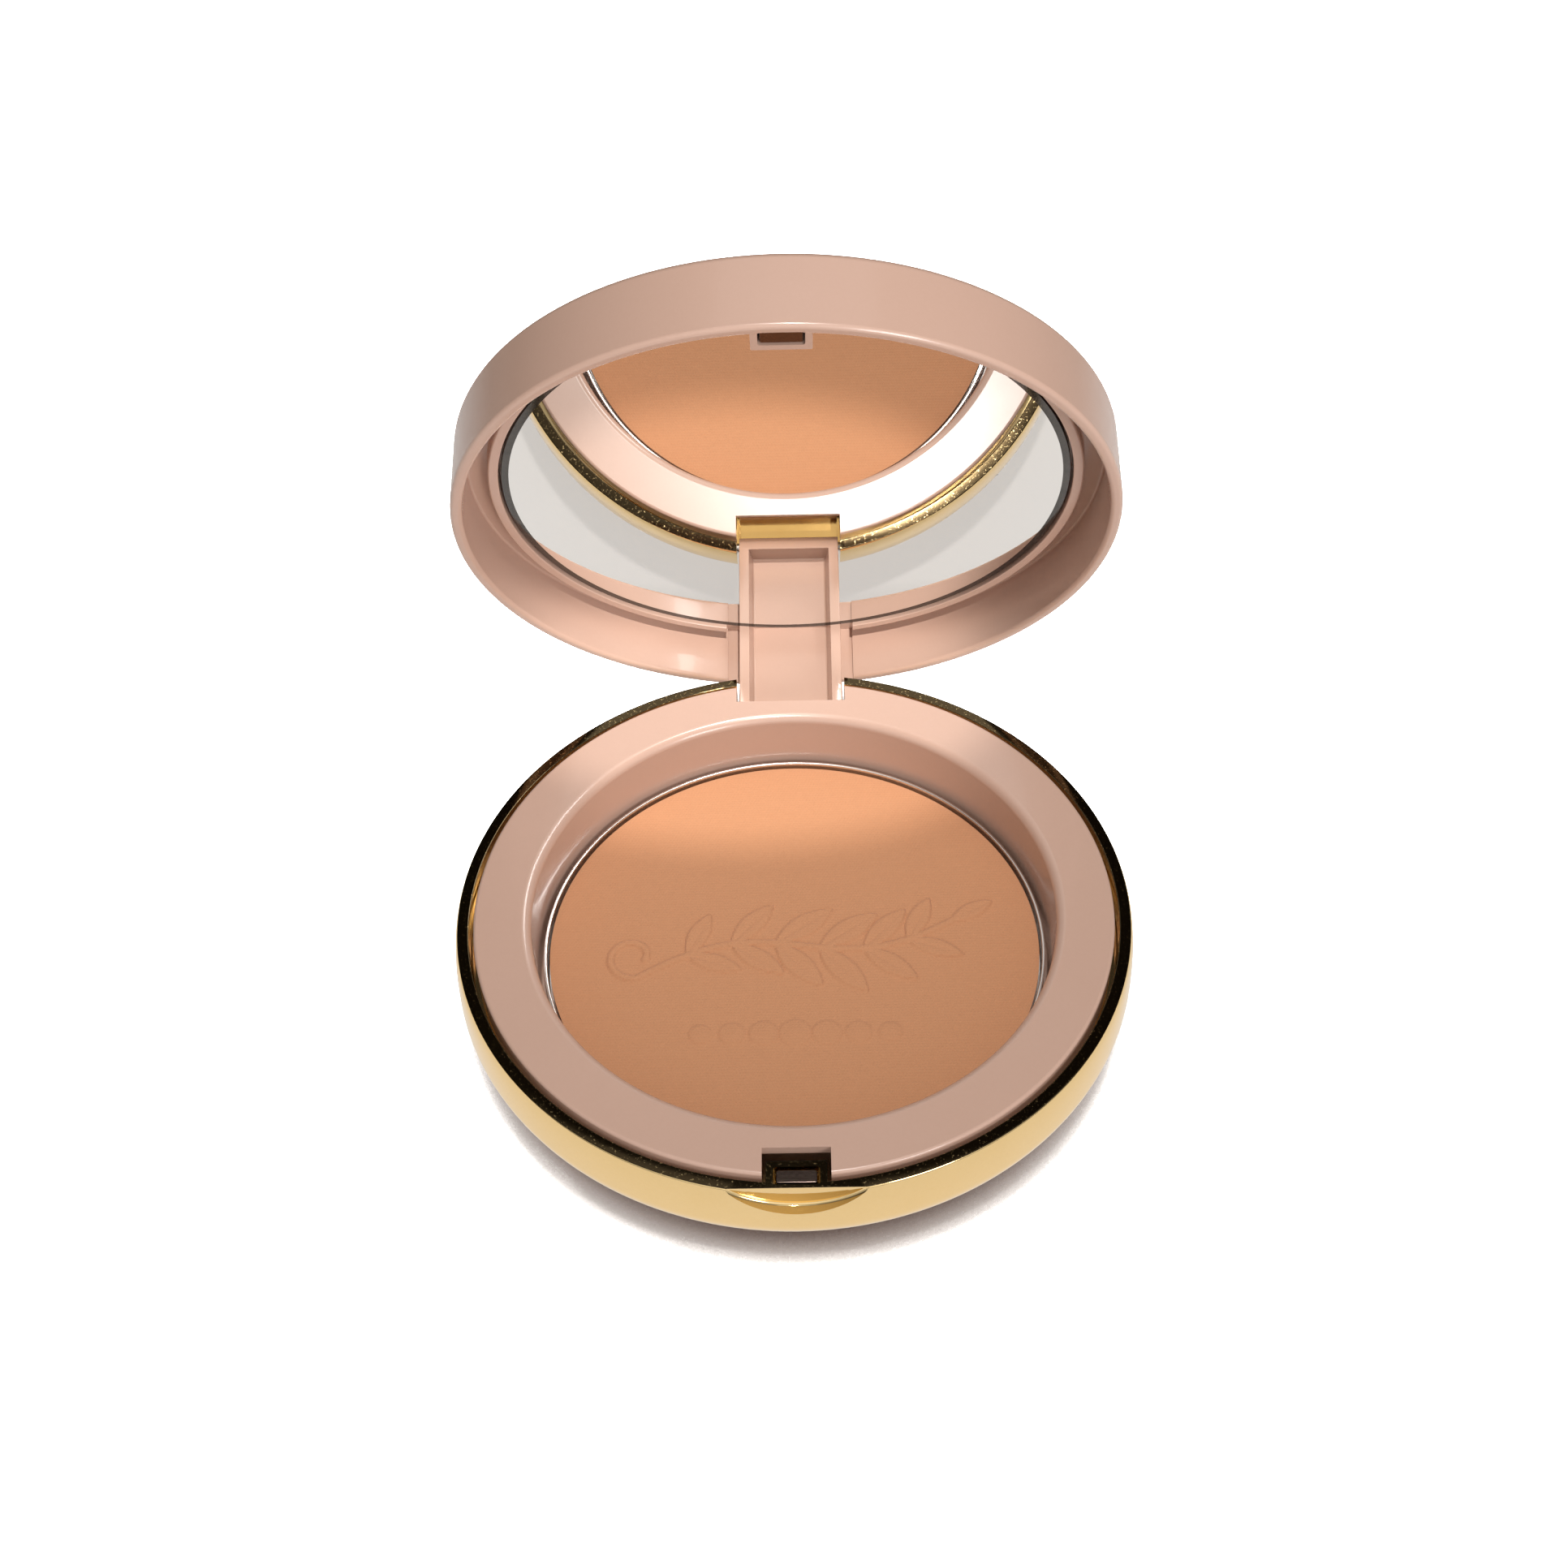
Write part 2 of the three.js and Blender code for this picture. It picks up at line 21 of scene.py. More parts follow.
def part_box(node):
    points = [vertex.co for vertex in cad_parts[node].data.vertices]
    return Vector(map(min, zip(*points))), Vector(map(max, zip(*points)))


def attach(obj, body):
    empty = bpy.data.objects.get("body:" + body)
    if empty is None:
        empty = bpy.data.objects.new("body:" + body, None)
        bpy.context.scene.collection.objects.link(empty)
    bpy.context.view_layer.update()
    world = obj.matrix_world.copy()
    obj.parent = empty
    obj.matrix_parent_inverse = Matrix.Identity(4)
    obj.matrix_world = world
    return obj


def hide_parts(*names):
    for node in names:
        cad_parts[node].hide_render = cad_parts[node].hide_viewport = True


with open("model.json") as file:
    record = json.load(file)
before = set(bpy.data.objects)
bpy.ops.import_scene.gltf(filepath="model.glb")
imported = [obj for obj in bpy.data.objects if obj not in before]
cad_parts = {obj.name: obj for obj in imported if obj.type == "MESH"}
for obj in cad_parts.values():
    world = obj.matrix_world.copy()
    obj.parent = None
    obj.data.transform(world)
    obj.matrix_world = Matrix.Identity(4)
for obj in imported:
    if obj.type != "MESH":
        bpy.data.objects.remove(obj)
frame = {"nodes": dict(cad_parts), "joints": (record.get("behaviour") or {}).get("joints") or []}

LOG = logging.getLogger("powder_compact")
MM = 0.001  # metres in a millimetre
ROUND_STEPS = 192  # columns around every turned piece
SHARP_ANGLE = math.radians(32)  # edges sharper than this keep a crisp line
SEAT_GAP = 0.3  # play between pieces that seat on each other
THIN_GAP = 0.2  # play around glue, pads and small magnets
WELD = 1e-7  # metres within which points of one surface are the same
FLAT_WEIGHT = 80  # how strongly large faces pull the normals at their corners


class Cut(Enum):
    """The ways in which one solid works on another."""

    JOIN = "UNION"
    CARVE = "DIFFERENCE"
    KEEP = "INTERSECT"


# ---- Reading the frame ----


def node_box(node: str) -> tuple[np.ndarray, np.ndarray]:
    """Lowest and highest corner of a CAD node at rest.

    Args:
        node: name of the CAD node.

    Returns:
        The two corners in millimetres.
    """
    low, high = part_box(node)
    return np.array(low) / MM, np.array(high) / MM


@dataclass(frozen=True)
class Hinge:
    """The pin's axis, and how far the lid stands from closed, in millimetres and radians."""

    pin_y: float
    pin_z: float
    open_angle: float

    @classmethod
    def from_frame(cls) -> "Hinge":
        """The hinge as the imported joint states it."""
        joint = frame["joints"][0]
        _, pin_y, pin_z = (value / MM for value in joint["pos_m"])
        return cls(pin_y, pin_z, math.radians(-joint["range_deg"][0]))

    def opening(self) -> Matrix:
        """The move, in metres, from the closed lid to the lid as it stands."""
        pin = Vector((0.0, self.pin_y * MM, self.pin_z * MM))
        turn = Matrix.Rotation(-self.open_angle, 4, "X")
        return Matrix.Translation(pin) @ turn @ Matrix.Translation(-pin)

    def closed_box(self, node: str) -> tuple[np.ndarray, np.ndarray]:
        """Lowest and highest corner of a lid node once the lid is closed.

        Args:
            node: name of the CAD node.

        Returns:
            The two corners in millimetres.
        """
        vertices = frame["nodes"][node].data.vertices
        points = np.empty(len(vertices) * 3)
        vertices.foreach_get("co", points)
        closing = np.array(self.opening().inverted())
        moved = points.reshape(-1, 3) @ closing[:3, :3].T + closing[:3, 3]
        return moved.min(axis=0) / MM, moved.max(axis=0) / MM


# ---- Shapes ----


def arc(
    centre: tuple[float, float], half: tuple[float, float], start: float, end: float, steps: int
) -> np.ndarray:
    """Points of an elliptic arc: centre + (half width x cos a, half height x sin a).

    Args:
        centre: middle of the ellipse.
        half: its two half sizes.
        start: first angle in degrees.
        end: last angle in degrees.
        steps: stretches along the arc.

    Returns:
        An array of steps + 1 points.
    """
    angle = np.radians(np.linspace(start, end, steps + 1))
    return np.stack(
        [centre[0] + half[0] * np.cos(angle), centre[1] + half[1] * np.sin(angle)], axis=1
    )


def rounded(corners: Sequence[tuple[float, float, float]], closed: bool, steps: int = 5) -> np.ndarray:
    """A polygon whose corners are rounded by arcs tangent to both sides.

    Each corner gives way to the points corner + t (bisector) that lie one radius from the arc's
    centre, evenly spaced in angle between the two tangent points.

    Args:
        corners: (x, y, radius) of each corner; a radius of 0 keeps it sharp.
        closed: whether the last corner joins the first.
        steps: stretches along each rounding.

    Returns:
        The outline's points.
    """
    places = [np.array(corner[:2], float) for corner in corners]
    outline: list[np.ndarray] = []
    count = len(corners)
    for i, (here, corner) in enumerate(zip(places, corners)):
        ends = not closed and i in (0, count - 1)
        if ends or corner[2] <= 0:
            outline.append(here[None])
            continue
        back = places[i - 1] - here
        ahead = places[(i + 1) % count] - here
        back /= np.linalg.norm(back)
        ahead /= np.linalg.norm(ahead)
        half_angle = 0.5 * math.acos(float(np.clip(back @ ahead, -1, 1)))
        bisector = (back + ahead) / np.linalg.norm(back + ahead)
        centre = here + bisector * corner[2] / math.sin(half_angle)
        reach = corner[2] / math.tan(half_angle)
        first = here + back * reach - centre
        last = here + ahead * reach - centre
        from_angle = math.atan2(first[1], first[0])
        turn = (math.atan2(last[1], last[0]) - from_angle + math.pi) % (2 * math.pi) - math.pi
        angle = from_angle + turn * np.linspace(0, 1, steps + 1)
        outline.append(centre + corner[2] * np.stack([np.cos(angle), np.sin(angle)], axis=1))
    return np.concatenate(outline)


def put(name: str, data: object) -> Object:
    """Puts a mesh, lamp or camera into the scene as an object and returns it."""
    item = bpy.data.objects.new(name, data)
    bpy.context.scene.collection.objects.link(item)
    return item


def weld(mesh: Mesh, reach: float, outwards: bool = False) -> None:
    """Merges points that lie together and drops what that leaves flat.

    Args:
        mesh: the mesh that is changed.
        reach: greatest distance between merged points, in metres.
        outwards: whether the faces are also turned outwards.
    """
    work = bmesh.new()
    work.from_mesh(mesh)
    bmesh.ops.remove_doubles(work, verts=work.verts, dist=reach)
    bmesh.ops.dissolve_degenerate(work, dist=reach, edges=work.edges)
    if outwards:
        bmesh.ops.recalc_face_normals(work, faces=work.faces)
    work.to_mesh(mesh)
    work.free()


def settle(piece: Object) -> None:
    """Puts the result of a piece's modifiers into its mesh."""
    shaped = piece.evaluated_get(bpy.context.evaluated_depsgraph_get())
    mesh = bpy.data.meshes.new_from_object(shaped)
    piece.modifiers.clear()
    rough = piece.data
    piece.data = mesh
    bpy.data.meshes.remove(rough)


def surface(name: str, grid: np.ndarray, loop: bool) -> Object:
    """Skins a grid of points whose columns run round the piece.

    Quads join row i to row i + 1 and column j to column j + 1, the columns closing on themselves.
    The rows close too, or else the two end rows are capped or shrink to a pole.

    Args:
        name: name of the object.
        grid: rows x columns x 3 points in millimetres.
        loop: whether the last row joins the first.

    Returns:
        The closed object, with its faces outwards.
    """
    rows, columns = grid.shape[:2]
    index = np.arange(rows * columns).reshape(rows, columns)
    below = index if loop else index[:-1]
    above = np.roll(index, -1, axis=0) if loop else index[1:]
    quads = np.stack([below, np.roll(below, -1, axis=1), np.roll(above, -1, axis=1), above], axis=-1)
    faces = quads.reshape(-1, 4).tolist()
    if not loop:
        faces += [index[0][::-1].tolist(), index[-1].tolist()]
    mesh = bpy.data.meshes.new(name)
    mesh.from_pydata((grid.reshape(-1, 3) * MM).tolist(), [], faces)
    weld(mesh, WELD, outwards=True)
    return put(name, mesh)


def turned(name: str, profile: np.ndarray, loop: bool = False) -> Object:
    """Turns a profile about Z: (r, z) at angle a lies at (r cos a, r sin a, z).

    Args:
        name: name of the object.
        profile: (radius, height) points in millimetres.
        loop: whether the profile is a ring's section, away from the axis.

    Returns:
        The turned object.
    """
    angle = np.linspace(0, 2 * math.pi, ROUND_STEPS, endpoint=False)
    radius, height = profile[:, :1], profile[:, 1:]
    grid = np.stack(
        [radius * np.cos(angle), radius * np.sin(angle), height + 0 * angle], axis=-1
    )
    return surface(name, grid, loop)


def inset(outline: np.ndarray, depth: float) -> np.ndarray:
    """Moves a closed outline inwards along its corners' bisectors.

    Each point moves by depth / cos(half the turn) against the mean of its two sides' normals.

    Args:
        outline: anticlockwise points.
        depth: how far the sides move in.

    Returns:
        The smaller outline, point for point.
    """
    ahead = np.roll(outline, -1, axis=0) - outline
    ahead /= np.linalg.norm(ahead, axis=1, keepdims=True)
    behind = np.roll(ahead, 1, axis=0)
    normal = np.stack([-(ahead + behind)[:, 1], (ahead + behind)[:, 0]], axis=1)
    return outline + depth * 2 * normal / (normal * normal).sum(axis=1, keepdims=True)


def bar(
    name: str, outline: np.ndarray, start: float, end: float, edge: float = 0.0, along: str = "Z"
) -> Object:
    """Extrudes an outline, with a quarter-round edge at both ends.

    Near each end the outline is drawn in by edge (1 - sin a) at a depth of edge (1 - cos a).

    Args:
        name: name of the object.
        outline: anticlockwise points in millimetres; (x, y) along Z, or (y, z) along X.
        start: first end.
        end: last end.
        edge: radius of the rounding at both ends.
        along: "Z" or "X".

    Returns:
        The closed bar.
    """
    rise = np.radians(np.linspace(0, 90, 5)) if edge > 0 else np.array([math.pi / 2])
    levels = [(edge * (1 - math.sin(a)), start + edge * (1 - math.cos(a))) for a in rise]
    levels += [(shrink, start + end - level) for shrink, level in reversed(levels)]
    rings = []
    for shrink, level in levels:
        ring = inset(outline, shrink)
        column = np.full((len(ring), 1), level)
        rings.append(np.hstack([ring, column] if along == "Z" else [column, ring]))
    return surface(name, np.array(rings), loop=False)


def slab(low: Sequence[float], high: Sequence[float], corner: float = 0.0) -> Object:
    """A box between two corners, its upright edges rounded.

    Args:
        low: lowest corner in millimetres.
        high: highest corner in millimetres.
        corner: radius of the upright edges.

    Returns:
        The box as an object.
    """
    x0, y0, z0 = low
    x1, y1, z1 = high
    outline = rounded([(x0, y0, corner), (x1, y0, corner), (x1, y1, corner), (x0, y1, corner)], True)
    return bar("slab", outline, z0, z1)


def work_on(piece: Object, tool: Object, cut: Cut) -> None:
    """Joins, carves or trims a piece with a tool, which is used up.

    Args:
        piece: the object that is changed.
        tool: the closed object that works on it.
        cut: what the tool does.
    """
    modifier = piece.modifiers.new("cut", "BOOLEAN")
    modifier.operation = cut.value
    modifier.solver = "EXACT"
    modifier.object = tool
    settle(piece)
    spent = tool.data
    bpy.data.objects.remove(tool)
    bpy.data.meshes.remove(spent)


def finish_mesh(
    piece: Object, place: Matrix | None = None, crisp: float = SHARP_ANGLE
) -> Object:
    """Cleans a piece, shades it smooth between crisp edges and puts its place in its mesh.

    Args:
        piece: the finished shape.
        place: a move for its points, such as the lid's opening.
        crisp: edges sharper than this angle keep a crisp line.

    Returns:
        The same piece, its normals weighted by area so that its flat faces shade flat.
    """
    weld(piece.data, 2 * WELD)
    piece.data.shade_smooth()
    piece.data.set_sharp_from_angle(angle=crisp)
    weighted = piece.modifiers.new("weighted", "WEIGHTED_NORMAL")
    weighted.keep_sharp = True
    weighted.weight = FLAT_WEIGHT
    settle(piece)
    if place is not None:
        piece.data.transform(place)
    piece.data.update()
    return piece


# ---- Node groups ----


@dataclass
class Tree:
    """A node tree and short ways to add to it."""

    tree: NodeTree

    def add(self, kind: str, **settings: object) -> Node:
        """Adds a node.

        Args:
            kind: the node's type.
            settings: its properties, or with a leading "in_" its inputs' values.

        Returns:
            The node.
        """
        node = self.tree.nodes.new(kind)
        for key, value in settings.items():
            if key.startswith("in_"):
                node.inputs[key[3:].replace("_", " ")].default_value = value
            else:
                setattr(node, key, value)
        return node

    def math(self, operation: str, first: object, second: object = 0.0) -> NodeSocket:
        """Adds a Math node between two numbers or sockets and returns its output."""
        node = self.add("ShaderNodeMath", operation=operation)
        for socket, value in zip(node.inputs, (first, second)):
            if isinstance(value, NodeSocket):
                self.link(value, socket)
            else:
                socket.default_value = value
        return node.outputs[0]

    def blend(self, factor: object, dark: Sequence[float], light: Sequence[float]) -> NodeSocket:
        """Adds a colour mix from dark to light and returns its output."""
        node = self.add("ShaderNodeMix", data_type="RGBA")
        node.inputs["A"].default_value = (*dark, 1.0)
        node.inputs["B"].default_value = (*light, 1.0)
        self.link(factor, node.inputs["Factor"])
        return node.outputs["Result"]

    def ramp(self, factor: NodeSocket, *stops: tuple[float, Sequence[float]]) -> NodeSocket:
        """Adds a colour ramp through (position, colour) stops in order and returns its output."""
        node = self.add("ShaderNodeValToRGB")
        ends = node.color_ramp.elements
        for end, (position, tone) in zip(ends, (stops[0], stops[-1])):
            end.position, end.color = position, (*tone, 1.0)
        for position, tone in stops[1:-1]:
            ends.new(position).color = (*tone, 1.0)
        self.link(factor, node.inputs["Fac"])
        return node.outputs["Color"]

    def link(self, start: NodeSocket, end: NodeSocket) -> None:
        """Links two sockets."""
        self.tree.links.new(start, end)


def fresh_tree(owner: Material | World) -> Tree:
    """Turns on the nodes of a material or world, empties them and returns the tree."""
    owner.use_nodes = True
    owner.node_tree.nodes.clear()
    return Tree(owner.node_tree)


def new_group(name: str, inputs: dict[str, float], outputs: Sequence[str]) -> tuple[Tree, Node, Node]:
    """Starts a shader node group with number sockets and a coordinate input.

    Args:
        name: name of the group.
        inputs: each number input and its value.
        outputs: names of the number outputs.

    Returns:
        The tree, its input node and its output node.
    """
    group = bpy.data.node_groups.new(name, "ShaderNodeTree")
    group.interface.new_socket("Place", in_out="INPUT", socket_type="NodeSocketVector")
    for label, value in inputs.items():
        socket = group.interface.new_socket(label, in_out="INPUT", socket_type="NodeSocketFloat")
        socket.default_value = value
    for label in outputs:
        group.interface.new_socket(label, in_out="OUTPUT", socket_type="NodeSocketFloat")
    tree = Tree(group)
    return tree, tree.add("NodeGroupInput"), tree.add("NodeGroupOutput")


def press_cloth_group() -> NodeTree:
    """Print of a fine woven cloth: rows of small pips, each row shifted by half a pip.

    The height is the product of two sine waves across the cloth, broken up by a little noise.

    Returns:
        The group, with Height and Shade outputs.
    """
    tree, start, end = new_group("press_cloth", {"Pitch": 0.4 * MM}, ["Height", "Shade"])
    split = tree.add("ShaderNodeSeparateXYZ")
    tree.link(start.outputs["Place"], split.inputs[0])
    turn = tree.math("DIVIDE", 2 * math.pi, start.outputs["Pitch"])
    across = tree.math("MULTIPLY", split.outputs["X"], turn)
    along = tree.math("MULTIPLY", split.outputs["Y"], turn)
    shift = tree.math("MULTIPLY", along, 0.5)
    pips = tree.math("SINE", tree.math("ADD", across, shift))
    rows = tree.math("SINE", along)
    weave = tree.math("MULTIPLY", pips, rows)
    patch = tree.add("ShaderNodeTexNoise", in_Scale=900.0, in_Detail=3.0, in_Roughness=0.6)
    tree.link(start.outputs["Place"], patch.inputs["Vector"])
    uneven = tree.math("MULTIPLY", tree.math("ADD", weave, rows), patch.outputs["Fac"])
    tree.link(uneven, end.inputs["Height"])
    tree.link(tree.math("ADD", tree.math("MULTIPLY", uneven, 0.25), 0.5), end.inputs["Shade"])
    return tree.tree


def speckle_group() -> NodeTree:
    """Fine grain and slow cloudiness: noise at two scales, both from 0 to 1.

    Returns:
        The group, with Grain and Cloud outputs.
    """
    scales = {"Grain Scale": 2500.0, "Cloud Scale": 60.0}
    tree, start, end = new_group("speckle", scales, ["Grain", "Cloud"])
    for label in ("Grain", "Cloud"):
        noise = tree.add("ShaderNodeTexNoise", in_Detail=4.0, in_Roughness=0.55)
        tree.link(start.outputs["Place"], noise.inputs["Vector"])
        tree.link(start.outputs[f"{label} Scale"], noise.inputs["Scale"])
        tree.link(noise.outputs["Fac"], end.inputs[label])
    return tree.tree


def edge_wear_group() -> NodeTree:
    """Rubbed marks near a height on the piece: a band across Z, broken up by noise.

    The mask is what a noise has above a cut-off, made stronger, times 1 - (distance from the height /
    the band's width).

    Returns:
        The group, with a Mask output.
    """
    cut_off, strength = 0.58, 8.0
    tree, start, end = new_group("edge_wear", {"Height": 0.0, "Width": 0.5 * MM, "Scale": 1500.0}, ["Mask"])
    split = tree.add("ShaderNodeSeparateXYZ")
    tree.link(start.outputs["Place"], split.inputs[0])
    off = tree.math("ABSOLUTE", tree.math("SUBTRACT", split.outputs["Z"], start.outputs["Height"]))
    share = tree.math("DIVIDE", off, start.outputs["Width"])
    band = tree.math("MAXIMUM", tree.math("SUBTRACT", 1.0, share))
    noise = tree.add("ShaderNodeTexNoise", in_Detail=5.0, in_Roughness=0.7)
    tree.link(start.outputs["Place"], noise.inputs["Vector"])
    tree.link(start.outputs["Scale"], noise.inputs["Scale"])
    flecks = tree.math("MAXIMUM", tree.math("SUBTRACT", noise.outputs["Fac"], cut_off))
    mask = tree.math("MULTIPLY", tree.math("MULTIPLY", flecks, strength), band)
    tree.link(tree.math("MINIMUM", mask, 1.0), end.inputs["Mask"])
    return tree.tree


# ---- Finishes ----


@dataclass(frozen=True)
class Effects:
    """The shared node groups."""

    press_cloth: NodeTree
    speckle: NodeTree
    edge_wear: NodeTree


class Relief(Enum):
    """What gives a finish its fine relief."""

    CLOUD = "Cloud"
    GRAIN = "Grain"


@dataclass(frozen=True)
class Finish:
    """A finish: its colours, gloss and fine relief."""

    name: str
    slot: str
    dark: tuple[float, float, float]
    light: tuple[float, float, float]
    roughness: tuple[float, float]
    metallic: float = 0.0
    relief: Relief = Relief.CLOUD
    relief_mm: float = 0.0
    coat: float = 0.0
    coat_roughness: float = 0.06
    specular: float = 0.5
    sheen: float = 0.0
    grain_scale: float = 2500.0
    cloud_scale: float = 60.0

    def build(self, effects: Effects) -> Material:
        """Makes the material.

        Args:
            effects: the shared node groups.

        Returns:
            The material, its colour and roughness varied by the speckle group.
        """
        material = bpy.data.materials.new(self.name)
        tree = fresh_tree(material)
        shader = tree.add(
            "ShaderNodeBsdfPrincipled", in_Metallic=self.metallic, in_Specular_IOR_Level=self.specular,
            in_Coat_Weight=self.coat, in_Coat_Roughness=self.coat_roughness, in_Sheen_Weight=self.sheen,
        )
        output = tree.add("ShaderNodeOutputMaterial")
        tree.link(shader.outputs["BSDF"], output.inputs["Surface"])
        place = tree.add("ShaderNodeTexCoord").outputs["Object"]
        speckle = tree.add("ShaderNodeGroup", node_tree=effects.speckle,
                           in_Grain_Scale=self.grain_scale, in_Cloud_Scale=self.cloud_scale)
        tree.link(place, speckle.inputs["Place"])
        mixed = tree.math("ADD", speckle.outputs["Grain"], speckle.outputs["Cloud"])
        amount = tree.math("MULTIPLY", mixed, 0.5)
        tree.link(tree.blend(amount, self.dark, self.light), shader.inputs["Base Color"])
        low, high = self.roughness
        rough = tree.math("ADD", low, tree.math("MULTIPLY", speckle.outputs["Cloud"], high - low))
        tree.link(rough, shader.inputs["Roughness"])
        if self.relief_mm > 0:
            bump = tree.add("ShaderNodeBump", in_Strength=1.0, in_Distance=self.relief_mm * MM)
            tree.link(speckle.outputs[self.relief.value], bump.inputs["Height"])
            tree.link(bump.outputs["Normal"], shader.inputs["Normal"])
        self.detail(tree, shader, place, effects)
        return material

    def detail(self, tree: Tree, shader: Node, place: NodeSocket, effects: Effects) -> None:
        """Adds what this finish alone has; a plain finish has nothing more."""


@dataclass(frozen=True)
class GoldFinish(Finish):
    """Bright metallised gold with rubbed flecks along the rim; the rim's flat top between them is painted
    dark, a painted reflection of dark surroundings.
    """

    rim_height: float = 0.0
    rim_depth: float = 0.06
    rim_painted_dark_tone: tuple[float, float, float] = (0.10, 0.07, 0.035)
    wear_width: float = 0.35
    wear_scale: float = 3000.0
    wear_roughness: float = 0.12

    def detail(self, tree: Tree, shader: Node, place: NodeSocket, effects: Effects) -> None:
        """Roughens flecks along the rim and paints the rim's flat top dark between them, a painted dark
        reflection.

        Args:
            tree: the material's nodes.
            shader: its Principled BSDF.
            place: Object coordinates.
            effects: the shared node groups.
        """
        wear = tree.add("ShaderNodeGroup", node_tree=effects.edge_wear, in_Height=self.rim_height * MM,
                        in_Width=self.wear_width * MM, in_Scale=self.wear_scale)
        tree.link(place, wear.inputs["Place"])
        base = shader.inputs["Roughness"].links[0].from_socket
        rough = tree.math("ADD", base, tree.math("MULTIPLY", wear.outputs["Mask"], self.wear_roughness))
        tree.link(rough, shader.inputs["Roughness"])
        # Painted reflection: the rim's flat top, between the wear flecks, is coloured near black to stand for
        # the dark surroundings it reflects.
        split = tree.add("ShaderNodeSeparateXYZ")
        tree.link(place, split.inputs[0])
        flat_from = (self.rim_height - self.rim_depth) * MM
        on_rim = tree.math("GREATER_THAN", split.outputs["Z"], flat_from)
        painted_dark_share = tree.math("MULTIPLY", on_rim, tree.math("SUBTRACT", 1.0, wear.outputs["Mask"]))
        bright = shader.inputs["Base Color"].links[0].from_socket
        shade = tree.add("ShaderNodeMix", data_type="RGBA")
        tree.link(painted_dark_share, shade.inputs["Factor"])
        tree.link(bright, shade.inputs["A"])
        shade.inputs["B"].default_value = (*self.rim_painted_dark_tone, 1.0)
        tree.link(shade.outputs["Result"], shader.inputs["Base Color"])


@dataclass(frozen=True)
class PowderFinish(Finish):
    """Pressed powder with the print of the pressing cloth."""

    cloth_pitch: float = 0.4
    cloth_share: float = 0.6
    grain_height: float = 1.5
    print_depth: float = 0.02

    def detail(self, tree: Tree, shader: Node, place: NodeSocket, effects: Effects) -> None:
        """Presses the cloth's weave into colour and height.

        Args:
            tree: the material's nodes.
            shader: its Principled BSDF.
            place: Object coordinates.
            effects: the shared node groups.
        """
        cloth = tree.add("ShaderNodeGroup", node_tree=effects.press_cloth, in_Pitch=self.cloth_pitch * MM)
        tree.link(place, cloth.inputs["Place"])
        speckle = next(
            node for node in tree.tree.nodes if getattr(node, "node_tree", None) == effects.speckle
        )
        grain = speckle.outputs["Grain"]
        woven = tree.math("MULTIPLY", cloth.outputs["Shade"], self.cloth_share)
        amount = tree.math("ADD", woven, tree.math("MULTIPLY", grain, 1.0 - self.cloth_share))
        tree.link(tree.blend(amount, self.dark, self.light), shader.inputs["Base Color"])
        height = tree.math("ADD", cloth.outputs["Height"], tree.math("MULTIPLY", grain, self.grain_height))
        bump = tree.add("ShaderNodeBump", in_Strength=0.8, in_Distance=self.print_depth * MM)
        tree.link(height, bump.inputs["Height"])
        tree.link(bump.outputs["Normal"], shader.inputs["Normal"])


class Finishes:
    """Every finish of the compact, built once."""

    def __init__(self, rim_z: float) -> None:
        """Builds the node groups and the materials.

        Args:
            rim_z: height of the bowl's rim in millimetres.
        """
        effects = Effects(press_cloth_group(), speckle_group(), edge_wear_group())
        plans = [
            GoldFinish("gold_metallising", "gold_shell", (0.88, 0.64, 0.30), (0.94, 0.71, 0.37),
                       (0.05, 0.11), metallic=1.0, relief_mm=0.006, cloud_scale=220.0, rim_height=rim_z),
            Finish("blush_gloss", "blush_plastic", (0.485, 0.315, 0.245), (0.515, 0.34, 0.268),
                   (0.2, 0.3), coat=0.25, relief_mm=0.004, cloud_scale=90.0),
            Finish("pan_aluminium", "pan_metal", (0.72, 0.69, 0.66), (0.86, 0.84, 0.82), (0.16, 0.3),
                   metallic=1.0, relief=Relief.GRAIN, relief_mm=0.004),
            PowderFinish("pressed_powder", "pressed_powder", (0.50, 0.232, 0.116), (0.585, 0.287, 0.15),
                         (0.85, 0.95), specular=0.25, sheen=0.15),
            Finish("mirror_silver", "mirror", (0.87, 0.87, 0.86), (0.90, 0.90, 0.89), (0.005, 0.012),
                   metallic=1.0),
            # The magnets' nickel is coloured near black, a painted dark reflection that stands in for the
            # dark surroundings it reflects.
            Finish("magnet_nickel_painted_dark", "magnet_metal", (0.14, 0.10, 0.085), (0.2, 0.15, 0.125),
                   (0.12, 0.25), metallic=1.0, relief=Relief.GRAIN, relief_mm=0.01),
            Finish("pin_wire", "pin_steel", (0.52, 0.51, 0.50), (0.68, 0.67, 0.66), (0.2, 0.35),
                   metallic=1.0, relief=Relief.GRAIN, relief_mm=0.005),
            Finish("pad_foam", "foam_pad", (0.74, 0.72, 0.67), (0.86, 0.84, 0.79), (0.85, 0.95),
                   relief=Relief.GRAIN, relief_mm=0.08, grain_scale=1500.0),
            Finish("set_glue", "clear_glue", (0.66, 0.61, 0.54), (0.78, 0.73, 0.66), (0.25, 0.5),
                   coat=0.2, relief_mm=0.03, cloud_scale=700.0),
            Finish("label_paper", "paper_label", (0.80, 0.77, 0.72), (0.88, 0.85, 0.80), (0.6, 0.75),
                   relief=Relief.GRAIN, relief_mm=0.01, grain_scale=3500.0),
        ]
        self.materials = {plan.slot: plan.build(effects) for plan in plans}
        self.glass_edge = Finish(
            "glass_edge", "mirror", (0.015, 0.013, 0.012), (0.12, 0.11, 0.10), (0.05, 0.2),
            metallic=0.9, coat=0.6, relief_mm=0.02, cloud_scale=350.0,
        ).build(effects)

    def dress(self, piece: Object, slot: str) -> None:
        """Gives a piece the finish of a record slot."""
        piece.data.materials.clear()
        piece.data.materials.append(self.materials[slot])


